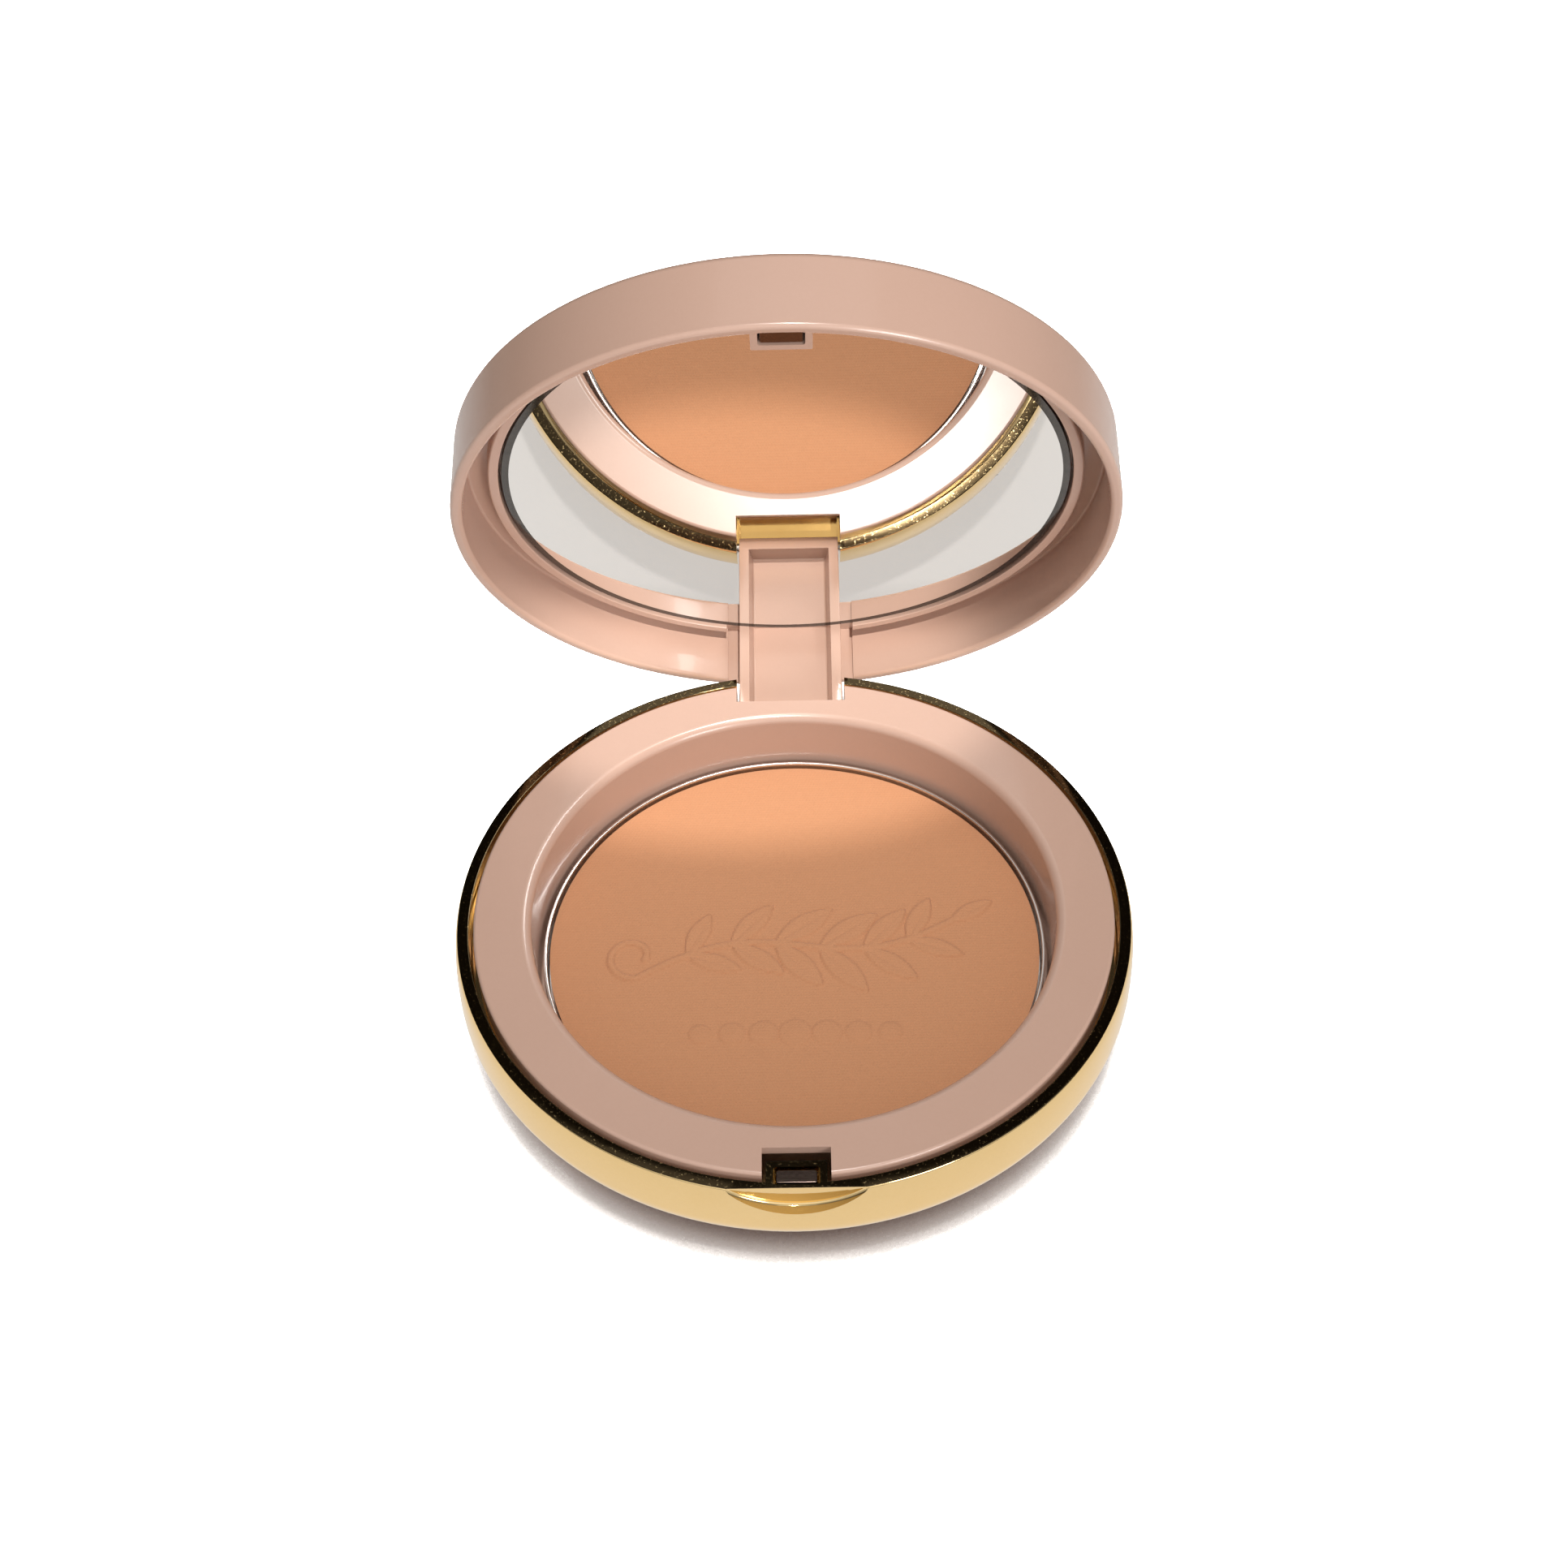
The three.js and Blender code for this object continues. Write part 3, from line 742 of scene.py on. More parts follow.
@dataclass
class SubAssembly:
    """What every sub-assembly shares: its finishes and the way a piece is put in place."""

    finishes: Finishes
    body: str

    def place(self, piece: Object, node: str, slot: str) -> Object:
        """Dresses a piece, rides it on the body and lets it stand for its CAD node.

        Args:
            piece: the finished object.
            node: the CAD node it stands for.
            slot: the record's material slot.

        Returns:
            The piece.
        """
        if not piece.data.materials:
            self.finishes.dress(piece, slot)
        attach(piece, self.body)
        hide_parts(node)
        LOG.info("%s stands for %s: %d faces", piece.name, node, len(piece.data.polygons))
        return piece

    def keep(self, node: str, slot: str) -> None:
        """Keeps a CAD node as it is and gives it a finish."""
        self.finishes.dress(frame["nodes"][node], slot)
        LOG.info("%s keeps its CAD shape", node)


# ---- The base ----


@dataclass
class Base(SubAssembly):
    """The bowl, its bezel insert and the catch magnet. Sizes in millimetres."""

    hinge: Hinge
    rim_width: float = 1.2
    bulge_drop: float = 5.2
    bulge: float = 0.7
    foot_inset: float = 18.3
    bowl_wall: float = 1.4
    floor_wall: float = 1.2
    ledge_width: float = 1.35
    ledge_drop: float = 3.2
    bezel_thickness: float = 1.1
    bezel_edge: float = 0.4
    well_lip: float = 1.1
    well_wall: float = 1.1
    well_draft: float = 0.2
    skirt_wall: float = 1.2
    well_floor: float = 0.7
    ejector_radius: float = 2.0
    tongue_width: float = 13.4
    tongue_front: float = 2.3
    knuckle_radius: float = 1.3
    cheek_wall: float = 2.4
    pocket_wall: float = 1.0
    catch_wall: float = 0.75
    block_height: float = 4.4
    block_play: tuple[float, float] = (0.4, 1.3)
    scoop_bite: float = 0.6
    scoop_radius: float = 11.2
    scoop_drop: float = 3.1
    scoop_fillet: float = 0.35

    def __post_init__(self) -> None:
        """Takes the main places from the frame."""
        _, shell = node_box("base_shell")
        self.bulge_radius, self.rim_z = float(shell[0]), float(shell[2])
        self.rim_radius = self.bulge_radius - self.bulge
        self.rim_inner = self.rim_radius - self.rim_width
        insert_low, insert = node_box("base_insert")
        self.bezel_radius, self.bezel_top = float(insert[0]), float(insert[2])
        self.well_floor_under = float(insert_low[2])
        _, label = node_box("base_label")
        self.label_radius, self.label_top = float(label[0]), float(label[2])
        self.magnet_low, self.magnet_high = node_box("base_magnet")
        self.slot_half = self.tongue_width / 2 + THIN_GAP
        self.tongue_front_y = self.hinge.pin_y - self.tongue_front
        self.far = 2 * self.bulge_radius

    def block_box(self) -> tuple[float, float, float, float]:
        """The catch block's x half width, front y, back y and bottom z."""
        grow = SEAT_GAP + self.catch_wall
        return (
            float(self.magnet_high[0]) + grow,
            -self.rim_radius + self.scoop_bite / 2,
            float(self.magnet_high[1]) + grow,
            self.rim_z - self.block_height,
        )

    def shell(self) -> Object:
        """The bowl: foot, quarter ellipse, bulge, rim, ledge, inner ellipse, hinge cheeks and scoop.

        Returns:
            The bowl as one shell.
        """
        foot = self.bulge_radius - self.foot_inset
        bulge_z = self.rim_z - self.bulge_drop
        recess_r = self.label_radius + SEAT_GAP
        recess_z = self.label_top + THIN_GAP
        ledge_r = self.rim_inner - self.ledge_width
        ledge_z = self.rim_z - self.ledge_drop
        inner_half = (self.foot_inset - self.bowl_wall, bulge_z - self.floor_wall)
        ledge_angle = math.degrees(math.acos((ledge_r - foot) / inner_half[0]))
        outside = np.concatenate([
            [[0, 0], [foot, 0]],
            arc((foot, bulge_z), (self.foot_inset, bulge_z), -80, 0, 30),
            arc((self.rim_radius, bulge_z), (self.bulge, self.bulge_drop), 8, 90, 16),
        ])
        inside = np.concatenate([
            rounded([(self.rim_radius, self.rim_z, 0), (self.rim_inner, self.rim_z, 0.12),
                     (self.rim_inner, ledge_z, 0.1), (ledge_r, ledge_z, 0)], closed=False)[1:],
            arc((foot, bulge_z), inner_half, -ledge_angle, -90, 16),
            [[0, self.floor_wall]],
        ])
        bowl = turned("bowl_shell", np.concatenate([outside, inside]))
        envelope = np.concatenate([outside, [[0, self.rim_z]]])
        cheek_out = self.slot_half + self.cheek_wall
        pocket_front = self.tongue_front_y - SEAT_GAP
        pocket_back = pocket_front - self.pocket_wall
        slot_floor = self.hinge.pin_z - self.knuckle_radius - SEAT_GAP
        half_x, front_y, back_y, block_z = self.block_box()
        bezel_under = self.bezel_top - self.bezel_thickness
        joined = [
            slab((-cheek_out, pocket_back, self.floor_wall / 2), (cheek_out, self.far, ledge_z - 0.1)),
            slab((-self.slot_half, pocket_back, self.floor_wall),
                 (self.slot_half, pocket_front, bezel_under - SEAT_GAP)),
            slab((-half_x, -self.rim_radius, block_z), (half_x, back_y, self.rim_z), corner=0.2),
        ]
        for extra in joined:
            work_on(extra, turned("envelope", envelope), Cut.KEEP)
            work_on(bowl, extra, Cut.JOIN)
        low, high = self.magnet_low - SEAT_GAP, self.magnet_high + SEAT_GAP
        carved = [
            slab((-self.slot_half, pocket_front, slot_floor), (self.slot_half, self.far, self.rim_z + 1)),
            slab((low[0], low[1], low[2] - 0.7), (high[0], high[1], self.rim_z + 1), corner=0.35),
            self.scoop(),
            turned("recess", rounded([(0, -1, 0), (recess_r, -1, 0), (recess_r, recess_z, 0.1),
                                      (0, recess_z, 0)], closed=False)),
        ]
        for cutter in carved:
            work_on(bowl, cutter, Cut.CARVE)
        return finish_mesh(bowl)

    def scoop(self) -> Object:
        """The thumb scoop's tool: a filleted disc lying on its side, open to the front.

        Returns:
            The cutter.
        """
        fillet = self.scoop_fillet
        reach = self.bulge + self.scoop_bite + 1
        profile = np.concatenate([
            [[0, 0]],
            arc((self.scoop_radius - fillet, fillet), (fillet, fillet), -90, 0, 10),
            [[self.scoop_radius, reach], [0, reach]],
        ])
        tool = turned("scoop", profile)
        height = self.rim_z - self.scoop_drop + self.scoop_radius
        place = Vector((0, (self.scoop_bite - self.rim_radius) * MM, height * MM))
        tool.data.transform(Matrix.Translation(place) @ Matrix.Rotation(math.pi / 2, 4, "X"))
        return tool

    def insert(self) -> Object:
        """The bezel: a flat ring, a skirt and the well, notched at the hinge and the catch.

        Returns:
            The insert as one shell.
        """
        skirt_bottom = self.rim_z - self.ledge_drop + SEAT_GAP
        under = self.bezel_top - self.bezel_thickness
        _, pan = node_box("powder_pan")
        well = float(pan[0]) + 0.8
        outer = well + self.well_wall
        floor_top = self.well_floor_under + self.well_floor
        bottom = well - self.well_draft
        skirt_in = self.bezel_radius - self.skirt_wall
        profile = rounded([
            (self.ejector_radius, self.well_floor_under, 0),
            (outer, self.well_floor_under, 1.0),
            (outer, under, 0.2),
            (skirt_in, under, 0.2),
            (skirt_in, skirt_bottom, 0),
            (self.bezel_radius, skirt_bottom, 0.1),
            (self.bezel_radius, self.bezel_top, self.bezel_edge),
            (well, self.bezel_top, self.well_lip),
            (bottom, floor_top, 0.3),
            (self.ejector_radius, floor_top, 0.1),
        ], closed=True, steps=9)
        ring = turned("bezel_insert", profile, loop=True)
        half_x, _, back_y, _ = self.block_box()
        notch_half = half_x + self.block_play[0]
        above = self.bezel_top + 1
        work_on(ring, slab((-self.slot_half, self.tongue_front_y - SEAT_GAP, skirt_bottom - 1),
                           (self.slot_half, self.far, above)), Cut.CARVE)
        work_on(ring, slab((-notch_half, -self.far, skirt_bottom - 1),
                           (notch_half, back_y + self.block_play[1], above)), Cut.CARVE)
        return finish_mesh(ring)

    def label(self) -> Object:
        """The blank label under the foot, a thin disc."""
        profile = rounded([(0, 0, 0), (self.label_radius, 0, 0.05),
                           (self.label_radius, self.label_top, 0.05), (0, self.label_top, 0)], closed=False)
        return finish_mesh(turned("foot_label", profile))

    def build(self) -> None:
        """Makes and places the pieces of the base."""
        self.place(self.shell(), "base_shell", "gold_shell")
        self.place(self.insert(), "base_insert", "blush_plastic")
        self.place(self.label(), "base_label", "paper_label")
        magnet = catch_magnet("base_catch_magnet", self.magnet_low, self.magnet_high)
        self.place(magnet, "base_magnet", "magnet_metal")
        self.keep("base_magnet_glue", "clear_glue")
        self.keep("hinge_pin", "pin_steel")
        self.keep("pan_adhesive", "foam_pad")


def catch_magnet(name: str, low: np.ndarray, high: np.ndarray) -> Object:
    """A small bar magnet with rounded upright edges and softened ends.

    Args:
        name: name of the piece.
        low: lowest corner in millimetres.
        high: highest corner in millimetres.

    Returns:
        The magnet.
    """
    outline = rounded([(low[0], low[1], 0.25), (high[0], low[1], 0.25),
                       (high[0], high[1], 0.25), (low[0], high[1], 0.25)], closed=True)
    return finish_mesh(bar(name, outline, float(low[2]), float(high[2]), edge=0.1))


# ---- The powder ----


@dataclass(frozen=True)
class Sprig:
    """A curling sprig over a row of pearls, as heights over the powder. Sizes in millimetres."""

    relief: float = 0.3
    soft: float = 0.34
    length: float = 39.0
    lean: float = 9.0
    leaves: int = 7
    leaf: tuple[float, float] = (9.0, 3.2)
    pearls: int = 7
    pearl_gap: float = 3.6
    pearl_radius: float = 1.5
    pearl_y: float = -13.2

    def stem(self, along: np.ndarray) -> np.ndarray:
        """The stem: x runs evenly, and y rises with a slow sine wave on top.

        Args:
            along: places along the stem, 0 to 1.

        Returns:
            Points of the stem.
        """
        rise = self.lean * (along - 0.5) + 2.4 * np.sin(2 * math.pi * along)
        return np.stack([self.length * (along - 0.5) + 1.0, rise - 0.5], axis=-1)

    def raise_from(self, distance: np.ndarray) -> np.ndarray:
        """Height for a distance inside an outline: a smooth step over the soft edge."""
        step = np.clip(0.5 + distance / self.soft, 0, 1)
        return step * step * (3 - 2 * step)

    def curl(self, place: np.ndarray) -> np.ndarray:
        """A spiral tendril at the stem's lower end: radius shrinks evenly with the turn.

        Args:
            place: points to measure.

        Returns:
            The distance of each point to the spiral.
        """
        start = self.stem(np.array([0.0]))[0]
        turn = np.linspace(0, 1.6 * math.pi, 60)
        radius = 3.2 * (1 - 0.55 * turn / turn[-1])
        centre = start + np.array([-0.4, 3.2])
        path = centre + np.stack([-radius * np.sin(turn), -radius * np.cos(turn)], axis=-1)
        return np.sqrt(((place[..., None, :] - path) ** 2).sum(-1)).min(-1)

    def height(self, x: np.ndarray, y: np.ndarray) -> np.ndarray:
        """Height of the print over the powder.

        The greatest of: the stem, half a millimetre or so wide; each leaf, whose half width is a
        sine along its length; and each pearl, a low dome.

        Args:
            x: places across, in millimetres.
            y: places from front to back.

        Returns:
            Heights in millimetres.
        """
        place = np.stack([x, y], axis=-1)
        path = self.stem(np.linspace(0, 1, 120))
        shape = np.zeros_like(x)
        for piece in np.array_split(path, 12):
            near = np.sqrt(((place[..., None, :] - piece) ** 2).sum(-1)).min(-1)
            shape = np.maximum(shape, self.raise_from(0.42 - near))
        shape = np.maximum(shape, self.raise_from(0.42 - self.curl(place)))
        for i in range(self.leaves):
            along = 0.16 + 0.8 * i / (self.leaves - 1)
            root, tip = self.stem(np.array([along - 0.01, along + 0.01]))
            heading = math.atan2(tip[1] - root[1], tip[0] - root[0])
            shrink = 1.0 - 0.35 * abs(along - 0.5) / 0.5
            sides = (0.0,) if i == self.leaves - 1 else (0.75, -0.75)
            for side in sides:
                shape = np.maximum(shape, self.leaf_shape(place - root, heading + side, shrink))
        pearls = np.zeros_like(x)
        for i in range(self.pearls):
            middle = (i - (self.pearls - 1) / 2)
            radius = self.pearl_radius * (1.25 - 0.12 * abs(middle))
            off = np.hypot(x - middle * self.pearl_gap, y - self.pearl_y) / radius
            dome = 0.8 + 0.2 * np.cos(math.pi * np.clip(off, 0, 1))
            pearls = np.maximum(pearls, dome * self.raise_from(radius * (1 - off)))
        return self.relief * np.maximum(shape, pearls)

    def leaf_shape(self, place: np.ndarray, heading: float, size: float) -> np.ndarray:
        """One leaf: half width times sin(pi u) to the power 0.8, with a groove along its middle.

        Args:
            place: points measured from the leaf's root.
            heading: direction of its tip in radians.
            size: share of the full leaf.

        Returns:
            Heights from 0 to 1.
        """
        length, width = self.leaf[0] * size, self.leaf[1] * size
        along = (place[..., 0] * math.cos(heading) + place[..., 1] * math.sin(heading)) / length
        across = place[..., 1] * math.cos(heading) - place[..., 0] * math.sin(heading)
        half = 0.5 * width * np.sin(math.pi * np.clip(along, 0, 1)) ** 0.8
        body = self.raise_from(np.where((along > 0) & (along < 1), half - np.abs(across), -1.0))
        groove = 0.45 * np.exp(-((across / 0.22) ** 2)) * np.clip(1.2 - along, 0, 1)
        return body * (1 - groove)


@dataclass
class Powder(SubAssembly):
    """The pan and its cake of pressed powder. Sizes in millimetres."""

    pan_wall: float = 0.4
    edge_fall: float = 0.12
    edge_width: float = 1.2
    cells: int = 290
    sprig: Sprig = Sprig()

    def pan(self) -> Object:
        """The pan: a thin cup with a folded foot and a rolled edge."""
        low, high = node_box("powder_pan")
        radius, bottom, top = float(high[0]), float(low[2]), float(high[2])
        inner = radius - self.pan_wall
        profile = rounded([
            (0, bottom, 0), (radius, bottom, 0.4), (radius, top, 0.14), (inner, top, 0.14),
            (inner, bottom + self.pan_wall, 0.1), (0, bottom + self.pan_wall, 0),
        ], closed=False)
        return finish_mesh(turned("powder_pan_cup", profile))

    def cake(self) -> Object:
        """The powder: a disc whose top carries the print and falls off softly at its edge.

        A square grid (u, v) is bent onto the disc by x = u sqrt(1 - v^2 / 2), y = v sqrt(1 - u^2 / 2),
        and the edge's points are carried down to the bottom.

        Returns:
            The cake.
        """
        low, high = node_box("powder_cake")
        radius, bottom, top = float(high[0]), float(low[2]), float(high[2])
        side = np.linspace(-1, 1, self.cells + 1)
        u, v = np.meshgrid(side, side, indexing="ij")
        x = radius * u * np.sqrt(1 - v * v / 2)
        y = radius * v * np.sqrt(1 - u * u / 2)
        edge = np.clip((np.hypot(x, y) - radius + self.edge_width) / self.edge_width, 0, 1)
        relief = self.sprig.height(x, y)
        z = top - self.sprig.relief - self.edge_fall * edge * edge + relief
        count = self.cells + 1
        index = np.arange(count * count).reshape(count, count)
        quads = np.stack([index[:-1, :-1], index[1:, :-1], index[1:, 1:], index[:-1, 1:]], axis=-1)
        rim = np.concatenate([index[:-1, 0], index[-1, :-1], index[:0:-1, -1], index[0, :0:-1]])
        points = np.stack([x, y, z], axis=-1).reshape(-1, 3)
        skirt = points[rim].copy()
        skirt[:, 2] = bottom
        lower = np.arange(len(rim)) + len(points)
        walls = np.stack([rim, lower, np.roll(lower, -1), np.roll(rim, -1)], axis=-1)
        faces = quads.reshape(-1, 4).tolist() + walls.tolist() + [lower[::-1].tolist()]
        mesh = bpy.data.meshes.new("powder_cake_pressed")
        mesh.from_pydata((np.concatenate([points, skirt]) * MM).tolist(), [], faces)
        return finish_mesh(put("powder_cake_pressed", mesh))

    def build(self) -> None:
        """Makes and places the pan and the cake."""
        self.place(self.pan(), "powder_pan", "pan_metal")
        self.place(self.cake(), "powder_cake", "pressed_powder")


# ---- The lid ----


@dataclass
class Lid(SubAssembly):
    """The lid, its tongue, mirror and magnet, drawn closed and then swung open. In millimetres."""

    hinge: Hinge
    wall: float = 1.4
    ceiling_wall: float = 1.8
    corner: float = 1.0
    lip: float = 0.55
    frame_width: float = 1.2
    frame_rise: float = 0.3
    frame_break: float = 1.6
    mirror_bevel: float = 0.4
    bevel_width: float = 0.9
    bevel_rise: float = 0.03
    tongue_width: float = 13.4
    tongue_front: float = 2.3
    tongue_plate: float = 0.9
    tongue_rib: float = 1.6
    rib_slope: float = 0.5
    knuckle_radius: float = 1.3
    catch_wall: float = 0.75
    catch_set_back: float = 0.15

    def __post_init__(self) -> None:
        """Takes the main places from the frame, with the lid closed."""
        _, shell = self.hinge.closed_box("lid_shell")
        mirror_low, mirror_high = self.hinge.closed_box("mirror_glass")
        self.magnet_low, self.magnet_high = self.hinge.closed_box("lid_magnet")
        self.radius, self.top = float(shell[0]), float(shell[2])
        self.mirror_radius = float(mirror_high[0])
        self.mirror_face, self.mirror_back = float(mirror_low[2]), float(mirror_high[2])
        self.lip_z = float(self.magnet_low[2]) - self.catch_set_back - 0.15
        self.inner = self.radius - self.wall
        self.ceiling = self.top - self.ceiling_wall
        self.frame_inner = self.mirror_radius + SEAT_GAP
        self.frame_face = self.mirror_face - self.frame_rise
        self.root_z = self.ceiling + self.ceiling_wall / 2

    def tongue(self) -> Object:
        """The tongue: a plate with a rib along each side, ending in a round knuckle on the pin.

        Returns:
            The tongue, ready to be joined to the lid.
        """
        half = self.tongue_width / 2
        front = self.hinge.pin_y - self.tongue_front
        back = self.hinge.pin_y + self.knuckle_radius
        low = self.hinge.pin_z + self.knuckle_radius
        knuckle = arc((self.hinge.pin_y, self.hinge.pin_z), (self.knuckle_radius,) * 2, 195, 360, 16)
        outline = np.concatenate([knuckle, [[back, self.root_z], [front, self.root_z], [front, low]]])
        plate = bar("tongue", outline, -half, half, edge=0.15, along="X")
        channel = half - self.tongue_rib
        floor = back - self.tongue_plate
        section = [(-channel - self.rib_slope, front - 1, 0), (channel + self.rib_slope, front - 1, 0),
                   (channel - self.rib_slope / 2, floor, 0.3), (-channel + self.rib_slope / 2, floor, 0.3)]
        work_on(plate, bar("channel", rounded(section, True), low + SEAT_GAP, self.ceiling), Cut.CARVE)
        web_back = self.inner + self.wall / 2
        work_on(plate, slab((-half, floor, self.lip_z + self.lip), (half, web_back, self.root_z)), Cut.JOIN)
        hole = arc((self.hinge.pin_y, self.hinge.pin_z), (0.68, 0.68), 0, 345, 23)
        work_on(plate, bar("pin_hole", hole, -half - 1, half + 1, along="X"), Cut.CARVE)
        return plate

    def shell(self) -> Object:
        """The lid: a shallow cup with a ring round the mirror, the tongue and the magnet's block.

        Returns:
            The lid as one shell, standing open.
        """
        frame_outer = self.frame_inner + self.frame_width
        profile = rounded([
            (0, self.ceiling, 0),
            (self.frame_inner, self.ceiling, 0.05),
            (self.frame_inner, self.frame_face, 0.15),
            (frame_outer, self.frame_face, 0.25),
            (frame_outer, self.ceiling, 0.2),
            (self.inner, self.ceiling, 0.3),
            (self.inner, self.lip_z, self.lip),
            (self.radius, self.lip_z, self.lip),
            (self.radius, self.top, self.corner),
            (0, self.top, 0),
        ], closed=False, steps=9)
        cup = turned("lid_cup", profile)
        break_half = self.tongue_width / 2 + self.frame_break
        work_on(cup, slab((-break_half, self.frame_inner / 2, self.lip_z - 1),
                          (break_half, self.inner - SEAT_GAP, self.ceiling)), Cut.CARVE)
        work_on(cup, self.tongue(), Cut.JOIN)
        grow = THIN_GAP + self.catch_wall
        half_x = float(self.magnet_high[0]) + grow
        back_y = float(self.magnet_high[1]) + grow
        front_y = -(self.inner + self.wall / 2)
        block_z = self.lip_z + self.catch_set_back
        work_on(cup, slab((-half_x, front_y, block_z), (half_x, back_y, self.root_z), corner=0.2), Cut.JOIN)
        frame_middle = -(self.frame_inner + self.frame_width / 2)
        work_on(cup, slab((-half_x, front_y, self.frame_face), (half_x, frame_middle, self.root_z)), Cut.JOIN)
        low, high = self.magnet_low - THIN_GAP, self.magnet_high + THIN_GAP
        pocket = slab((low[0], low[1], self.lip_z - 1), (high[0], high[1], high[2] + 0.7), corner=0.3)
        work_on(cup, pocket, Cut.CARVE)
        return finish_mesh(cup, self.hinge.opening())

    def mirror(self) -> Object:
        """The mirror: a silvered disc with a narrow bevel round its face."""
        bevel = self.mirror_bevel
        profile = rounded([
            (0, self.mirror_face, 0),
            (self.mirror_radius - self.bevel_width, self.mirror_face, 0),
            (self.mirror_radius - 0.06, self.mirror_face + self.bevel_rise, 0.03),
            (self.mirror_radius, self.mirror_face + bevel, 0.05),
            (self.mirror_radius, self.mirror_back, 0.05),
            (0, self.mirror_back, 0),
        ], closed=False)
        disc = finish_mesh(turned("mirror_disc", profile), crisp=math.radians(3))
        self.finishes.dress(disc, "mirror")
        disc.data.materials.append(self.finishes.glass_edge)
        middles = np.empty(len(disc.data.polygons) * 3)
        disc.data.polygons.foreach_get("center", middles)
        middles = middles.reshape(-1, 3) / MM
        ring = np.hypot(middles[:, 0], middles[:, 1]) > self.mirror_radius - self.bevel_width
        disc.data.polygons.foreach_set("material_index", ring.astype(np.int32))
        disc.data.transform(self.hinge.opening())
        return disc

    def build(self) -> None:
        """Makes and places the pieces of the lid."""
        self.place(self.shell(), "lid_shell", "blush_plastic")
        self.place(self.mirror(), "mirror_glass", "mirror")
        magnet = catch_magnet("lid_catch_magnet", self.magnet_low, self.magnet_high)
        magnet.data.transform(self.hinge.opening())
        self.place(magnet, "lid_magnet", "magnet_metal")
        self.keep("lid_magnet_glue", "clear_glue")
        self.keep("mirror_adhesive", "foam_pad")


# ---- The studio ----


def only_these(name: str, pieces: Sequence[str]) -> Collection:
    """A collection of named pieces, for a lamp that lights or is stopped by only them."""
    held = bpy.data.collections.new(name)
    for piece in pieces:
        held.objects.link(bpy.data.objects[piece])
    return held


@dataclass(frozen=True)
class Lamp:
    """A square soft lamp aimed at the compact: its direction, distance, size and power, and the only
    pieces it lights, or none for all of them."""

    name: str
    azimuth: float
    elevation: float
    distance: float
    size: float
    power: float
    colour: tuple[float, float, float] = (1.0, 1.0, 1.0)
    only: tuple[str, ...] = ()

    def light(self, target: Vector) -> Object:
        """Hangs the lamp.

        Args:
            target: the point it faces, in metres.

        Returns:
            The light object.
        """
        data = bpy.data.lights.new(self.name, "AREA")
        data.size = self.size
        data.energy = self.power
        data.color = self.colour
        lamp = put(self.name, data)
        turn, rise = math.radians(self.azimuth), math.radians(self.elevation)
        ahead = math.cos(rise)
        away = Vector((math.sin(turn) * ahead, -math.cos(turn) * ahead, math.sin(rise)))
        lamp.location = target + away * self.distance
        lamp.rotation_euler = away.to_track_quat("Z", "Y").to_euler()
        if self.only:
            lamp.light_linking.receiver_collection = only_these(f"{self.name}_receivers", self.only)
        return lamp


@dataclass(frozen=True)
class Throw:
    """A patch of light thrown by the mirror: where it falls in millimetres, the way back to its source,
    its power, spread in degrees, squash, blend, and the pieces it lights."""

    name: str
    place: tuple[float, float, float]
    away: tuple[float, float, float]
    power: float
    spread: float
    squash: float
    blend: float
    pieces: tuple[str, ...]
    reach: float = 1.2
    softness: float = 0.004
    colour: tuple[float, float, float] = (1.0, 0.96, 0.9)

    def light(self) -> Object:
        """Hangs the soft-edged spot that stands for the thrown light and returns it."""
        data = bpy.data.lights.new(self.name, "SPOT")
        data.energy = self.power
        data.spot_size = math.radians(self.spread)
        data.spot_blend = self.blend
        data.shadow_soft_size = self.softness
        data.color = self.colour
        lamp = put(self.name, data)
        away = Vector(self.away).normalized()
        across = Vector((1, 0, 0)) - away * away.x
        across.normalize()
        lamp.location = Vector(self.place) * MM + away * self.reach
        lamp.rotation_euler = Matrix((across, away.cross(across), away)).transposed().to_euler()
        lamp.scale = (1.0, self.squash, 1.0)
        for use in ("receiver", "blocker"):
            held = only_these(f"{self.name}_{use}s", self.pieces)
            setattr(lamp.light_linking, f"{use}_collection", held)
        return lamp


@dataclass(frozen=True)
class Camera:
    """The camera: it looks at the rim's centre from a height, a little turned, in millimetres."""

    elevation: float = 46.28
    roll: float = -1.59
    yaw: float = 0.78
    distance: float = 234.37
    side: float = -0.677
    rise: float = 13.95
    lens: float = 46.58
    sensor: float = 36.0

    def stand(self, rim_z: float) -> Object:
        """Sets the camera up.

        Args:
            rim_z: height of the bowl's rim in millimetres.

        Returns:
            The camera object.
        """
        lift, roll = math.radians(self.elevation), math.radians(self.roll)
        right = Vector((1, 0, 0))
        ahead = Vector((0, math.cos(lift), -math.sin(lift)))
        up = Vector((0, math.sin(lift), math.cos(lift)))
        place = self.side * right + self.rise * up - self.distance * ahead
        axis_x = math.cos(roll) * right + math.sin(roll) * up
        axis_y = -math.sin(roll) * right + math.cos(roll) * up
        turn = Matrix.Rotation(math.radians(self.yaw), 3, "Z")
        basis = turn @ Matrix((axis_x, axis_y, -ahead)).transposed()
        place = turn @ place + Vector((0, 0, rim_z))
        data = bpy.data.cameras.new("camera")
        data.sensor_width = self.sensor
        data.lens = self.lens
        data.clip_start = 0.01
        camera = put("camera", data)
        camera.matrix_world = Matrix.Translation(place * MM) @ basis.to_4x4()
        bpy.context.scene.camera = camera
        return camera


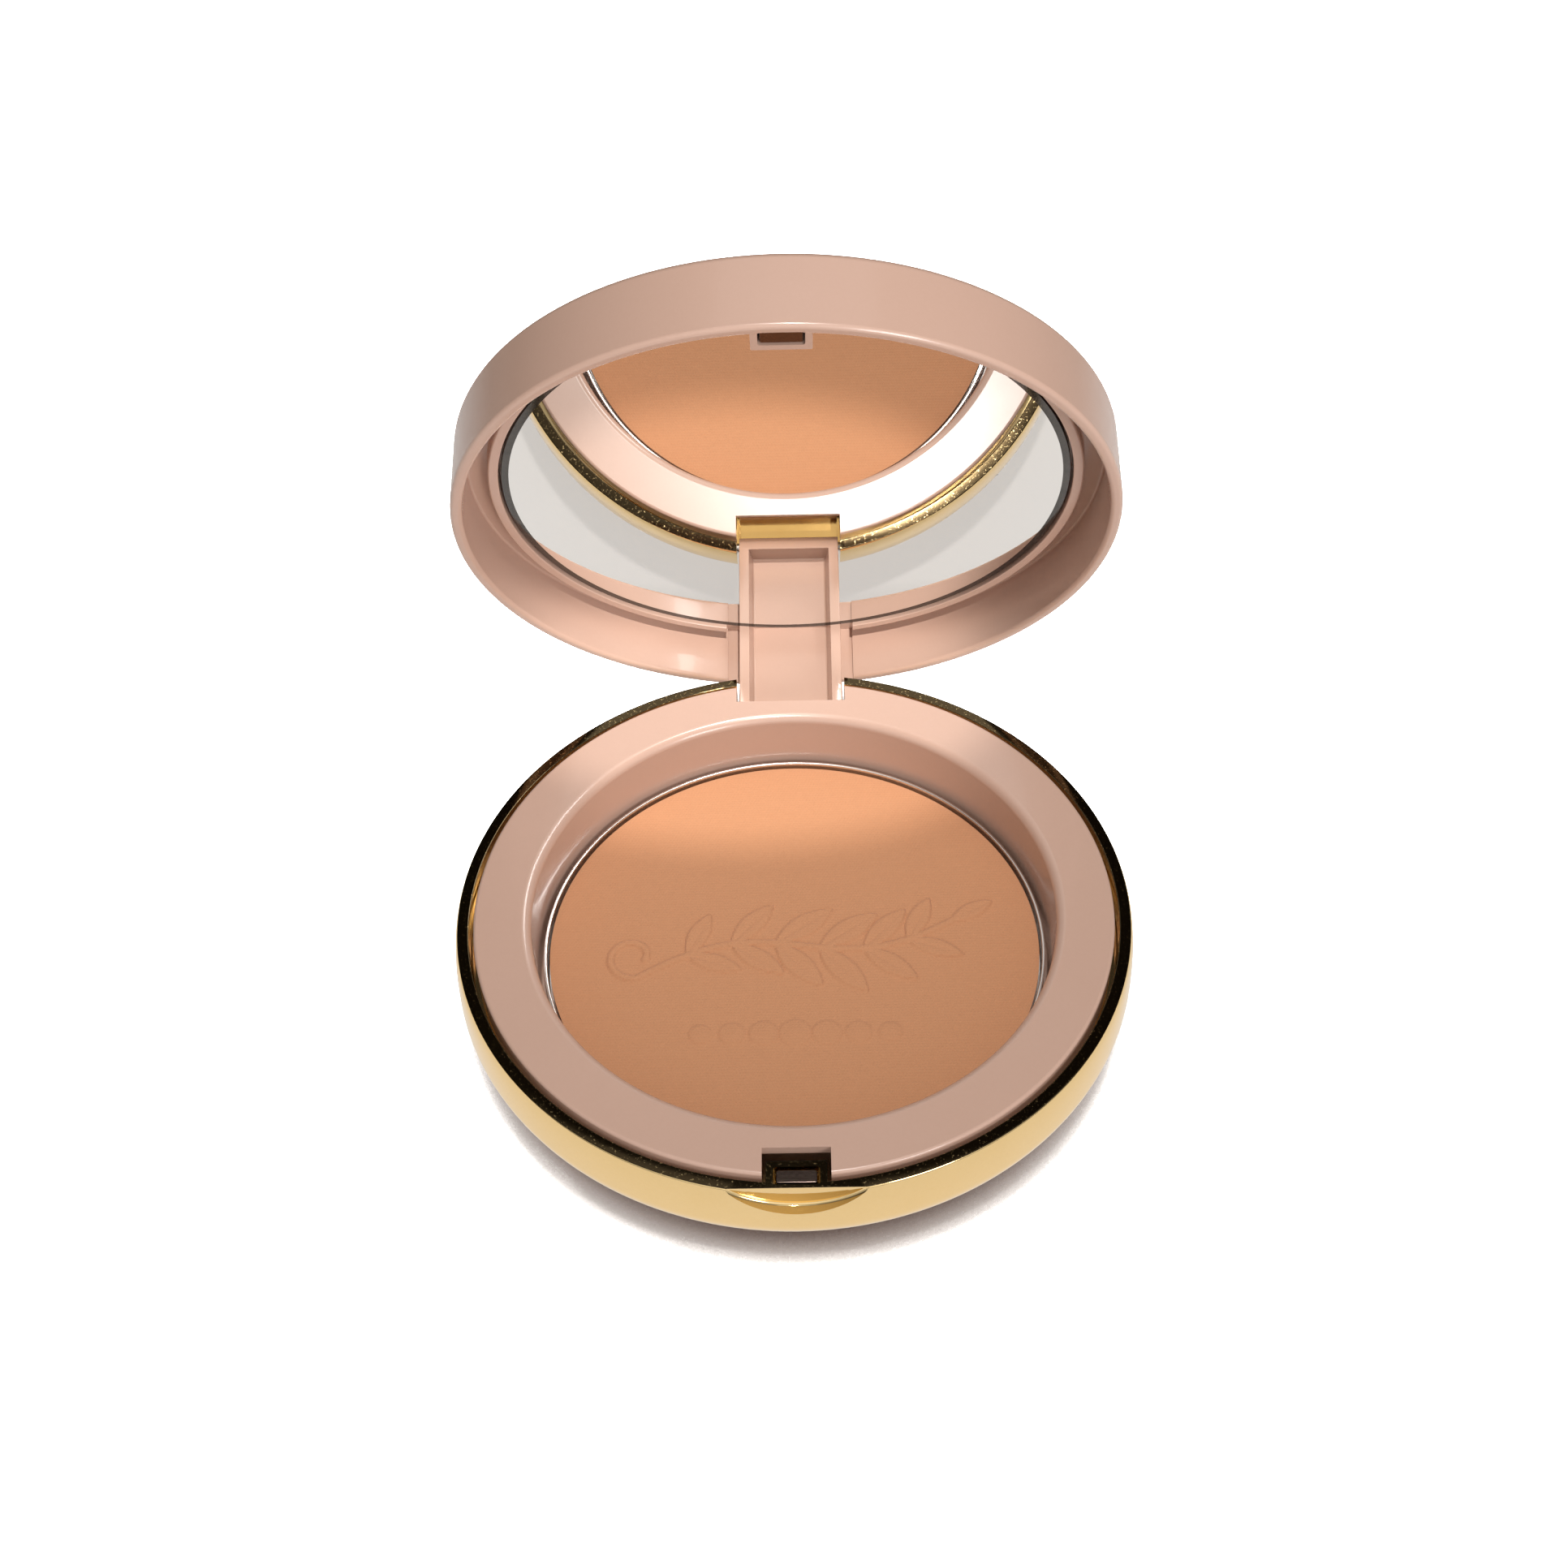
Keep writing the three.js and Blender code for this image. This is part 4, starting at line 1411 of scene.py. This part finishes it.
@dataclass
class Studio:
    """The pale floor, the lamps and the surroundings."""

    rim_z: float
    floor_size: float = 6.0
    paper_reach: float = 0.4
    shade_reach: float = 14.0
    shade_samples: int = 16
    fill_power: float = 7.5

    def floor(self) -> None:
        """Lays the floor: white to the eye, brown-shaded where the compact stands close over it, and
        greyer, the more so farther out, in what it reflects onto the compact."""
        half = self.floor_size / 2
        mesh = bpy.data.meshes.new("studio_floor")
        corners = [(-half, -half, 0), (half, -half, 0), (half, half, 0), (-half, half, 0)]
        mesh.from_pydata(corners, [], [(0, 1, 2, 3)])
        floor = put("studio_floor", mesh)
        material = bpy.data.materials.new("floor_paper")
        tree = fresh_tree(material)
        span = tree.add("ShaderNodeVectorMath", operation="LENGTH")
        tree.link(tree.add("ShaderNodeTexCoord").outputs["Object"], span.inputs[0])
        reach = tree.math("DIVIDE", span.outputs["Value"], self.paper_reach)
        paper_tone = tree.ramp(reach, (0.3, (0.25, 0.241, 0.233)), (1.0, (0.06, 0.055, 0.05)))
        near = tree.add("ShaderNodeAmbientOcclusion", in_Distance=self.shade_reach * MM,
                        samples=self.shade_samples)
        seen_tone = tree.ramp(
            near.outputs["AO"], (0.27, (0.03, 0.019, 0.016)), (0.41, (0.14, 0.121, 0.114)),
            (0.54, (0.258, 0.251, 0.247)), (0.66, (1.3, 1.3, 1.3)),
        )
        choice = tree.add("ShaderNodeMixShader")
        tree.link(tree.add("ShaderNodeLightPath").outputs["Is Camera Ray"], choice.inputs[0])
        for socket, tone in zip(choice.inputs[1:], (paper_tone, seen_tone)):
            diffuse = tree.add("ShaderNodeBsdfDiffuse")
            tree.link(tone, diffuse.inputs["Color"])
            tree.link(diffuse.outputs[0], socket)
        tree.link(choice.outputs[0], tree.add("ShaderNodeOutputMaterial").inputs["Surface"])
        mesh.materials.append(material)

    def surroundings(self) -> None:
        """Lights the room: pale in front of the compact, dark behind it."""
        world = bpy.data.worlds.new("studio")
        tree = fresh_tree(world)
        facing = tree.add("ShaderNodeVectorMath", operation="DOT_PRODUCT")
        facing.inputs[1].default_value = (0.1, -0.9, 0.3)
        tree.link(tree.add("ShaderNodeTexCoord").outputs["Generated"], facing.inputs[0])
        tone = tree.ramp(
            facing.outputs["Value"], (0.1, (0.035, 0.03, 0.025)), (0.74, (0.62, 0.61, 0.60)),
            (0.94, (1.1, 1.09, 1.07)),
        )
        sky = tree.add("ShaderNodeBackground")
        tree.link(tone, sky.inputs["Color"])
        tree.link(sky.outputs[0], tree.add("ShaderNodeOutputWorld").inputs["Surface"])
        bpy.context.scene.world = world

    def floor_fill(self) -> None:
        """Even light on the floor alone, so that it stays pale behind the lid."""
        data = bpy.data.lights.new("floor_fill", "SUN")
        data.energy = self.fill_power
        data.use_shadow = False
        lamp = put("floor_fill", data)
        lamp.light_linking.receiver_collection = only_these("fill_receivers", ("studio_floor",))

    def build(self) -> None:
        """Sets up the floor, the room and the lamps."""
        bpy.context.scene.view_settings.view_transform = "Standard"
        self.floor()
        self.surroundings()
        target = Vector((0, 0, self.rim_z * MM))
        on_lid = ("lid_cup", "mirror_disc", "lid_catch_magnet")
        on_front = (*on_lid, "bowl_shell", "base_catch_magnet", "bezel_insert")
        on_base = ("powder_cake_pressed", "powder_pan_cup", "bezel_insert", "bowl_shell")
        for lamp in (
            Lamp("key", 12, 76, distance=1.1, size=0.06, power=6.9, colour=(1.0, 0.98, 0.95)),
            Lamp("front_right", 34, 24, distance=1.2, size=0.35, power=4.6, only=on_front),
            Lamp("lid_front", 25, 10, distance=1.2, size=0.3, power=4.0, only=on_lid),
            Lamp("overhead", 170, 80, distance=1.1, size=0.8, power=0.9),
        ):
            lamp.light(target)
        for throw in (
            Throw("throw_on_powder", (-5.5, 31, 7), (0.12, 0.13, 1.0), 34.0, 3.1, 0.5, 0.22, on_base),
            Throw("throw_on_lid", (-5, 43, 13), (0.1, -0.6, 1.0), 62.0, 3.4, 0.3, 0.5, ("lid_cup",)),
        ):
            throw.light()
        self.floor_fill()


def main() -> None:
    """Builds the camera, the compact and the studio."""
    logging.basicConfig(level=logging.INFO, format="%(name)s: %(message)s")
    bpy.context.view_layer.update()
    hinge = Hinge.from_frame()
    rim_z = float(node_box("base_shell")[1][2])
    Camera().stand(rim_z)
    finishes = Finishes(rim_z)
    Base(finishes, "base", hinge).build()
    Powder(finishes, "base").build()
    Lid(finishes, "lid", hinge).build()
    Studio(rim_z).build()


if __name__ == "__main__":
    main()
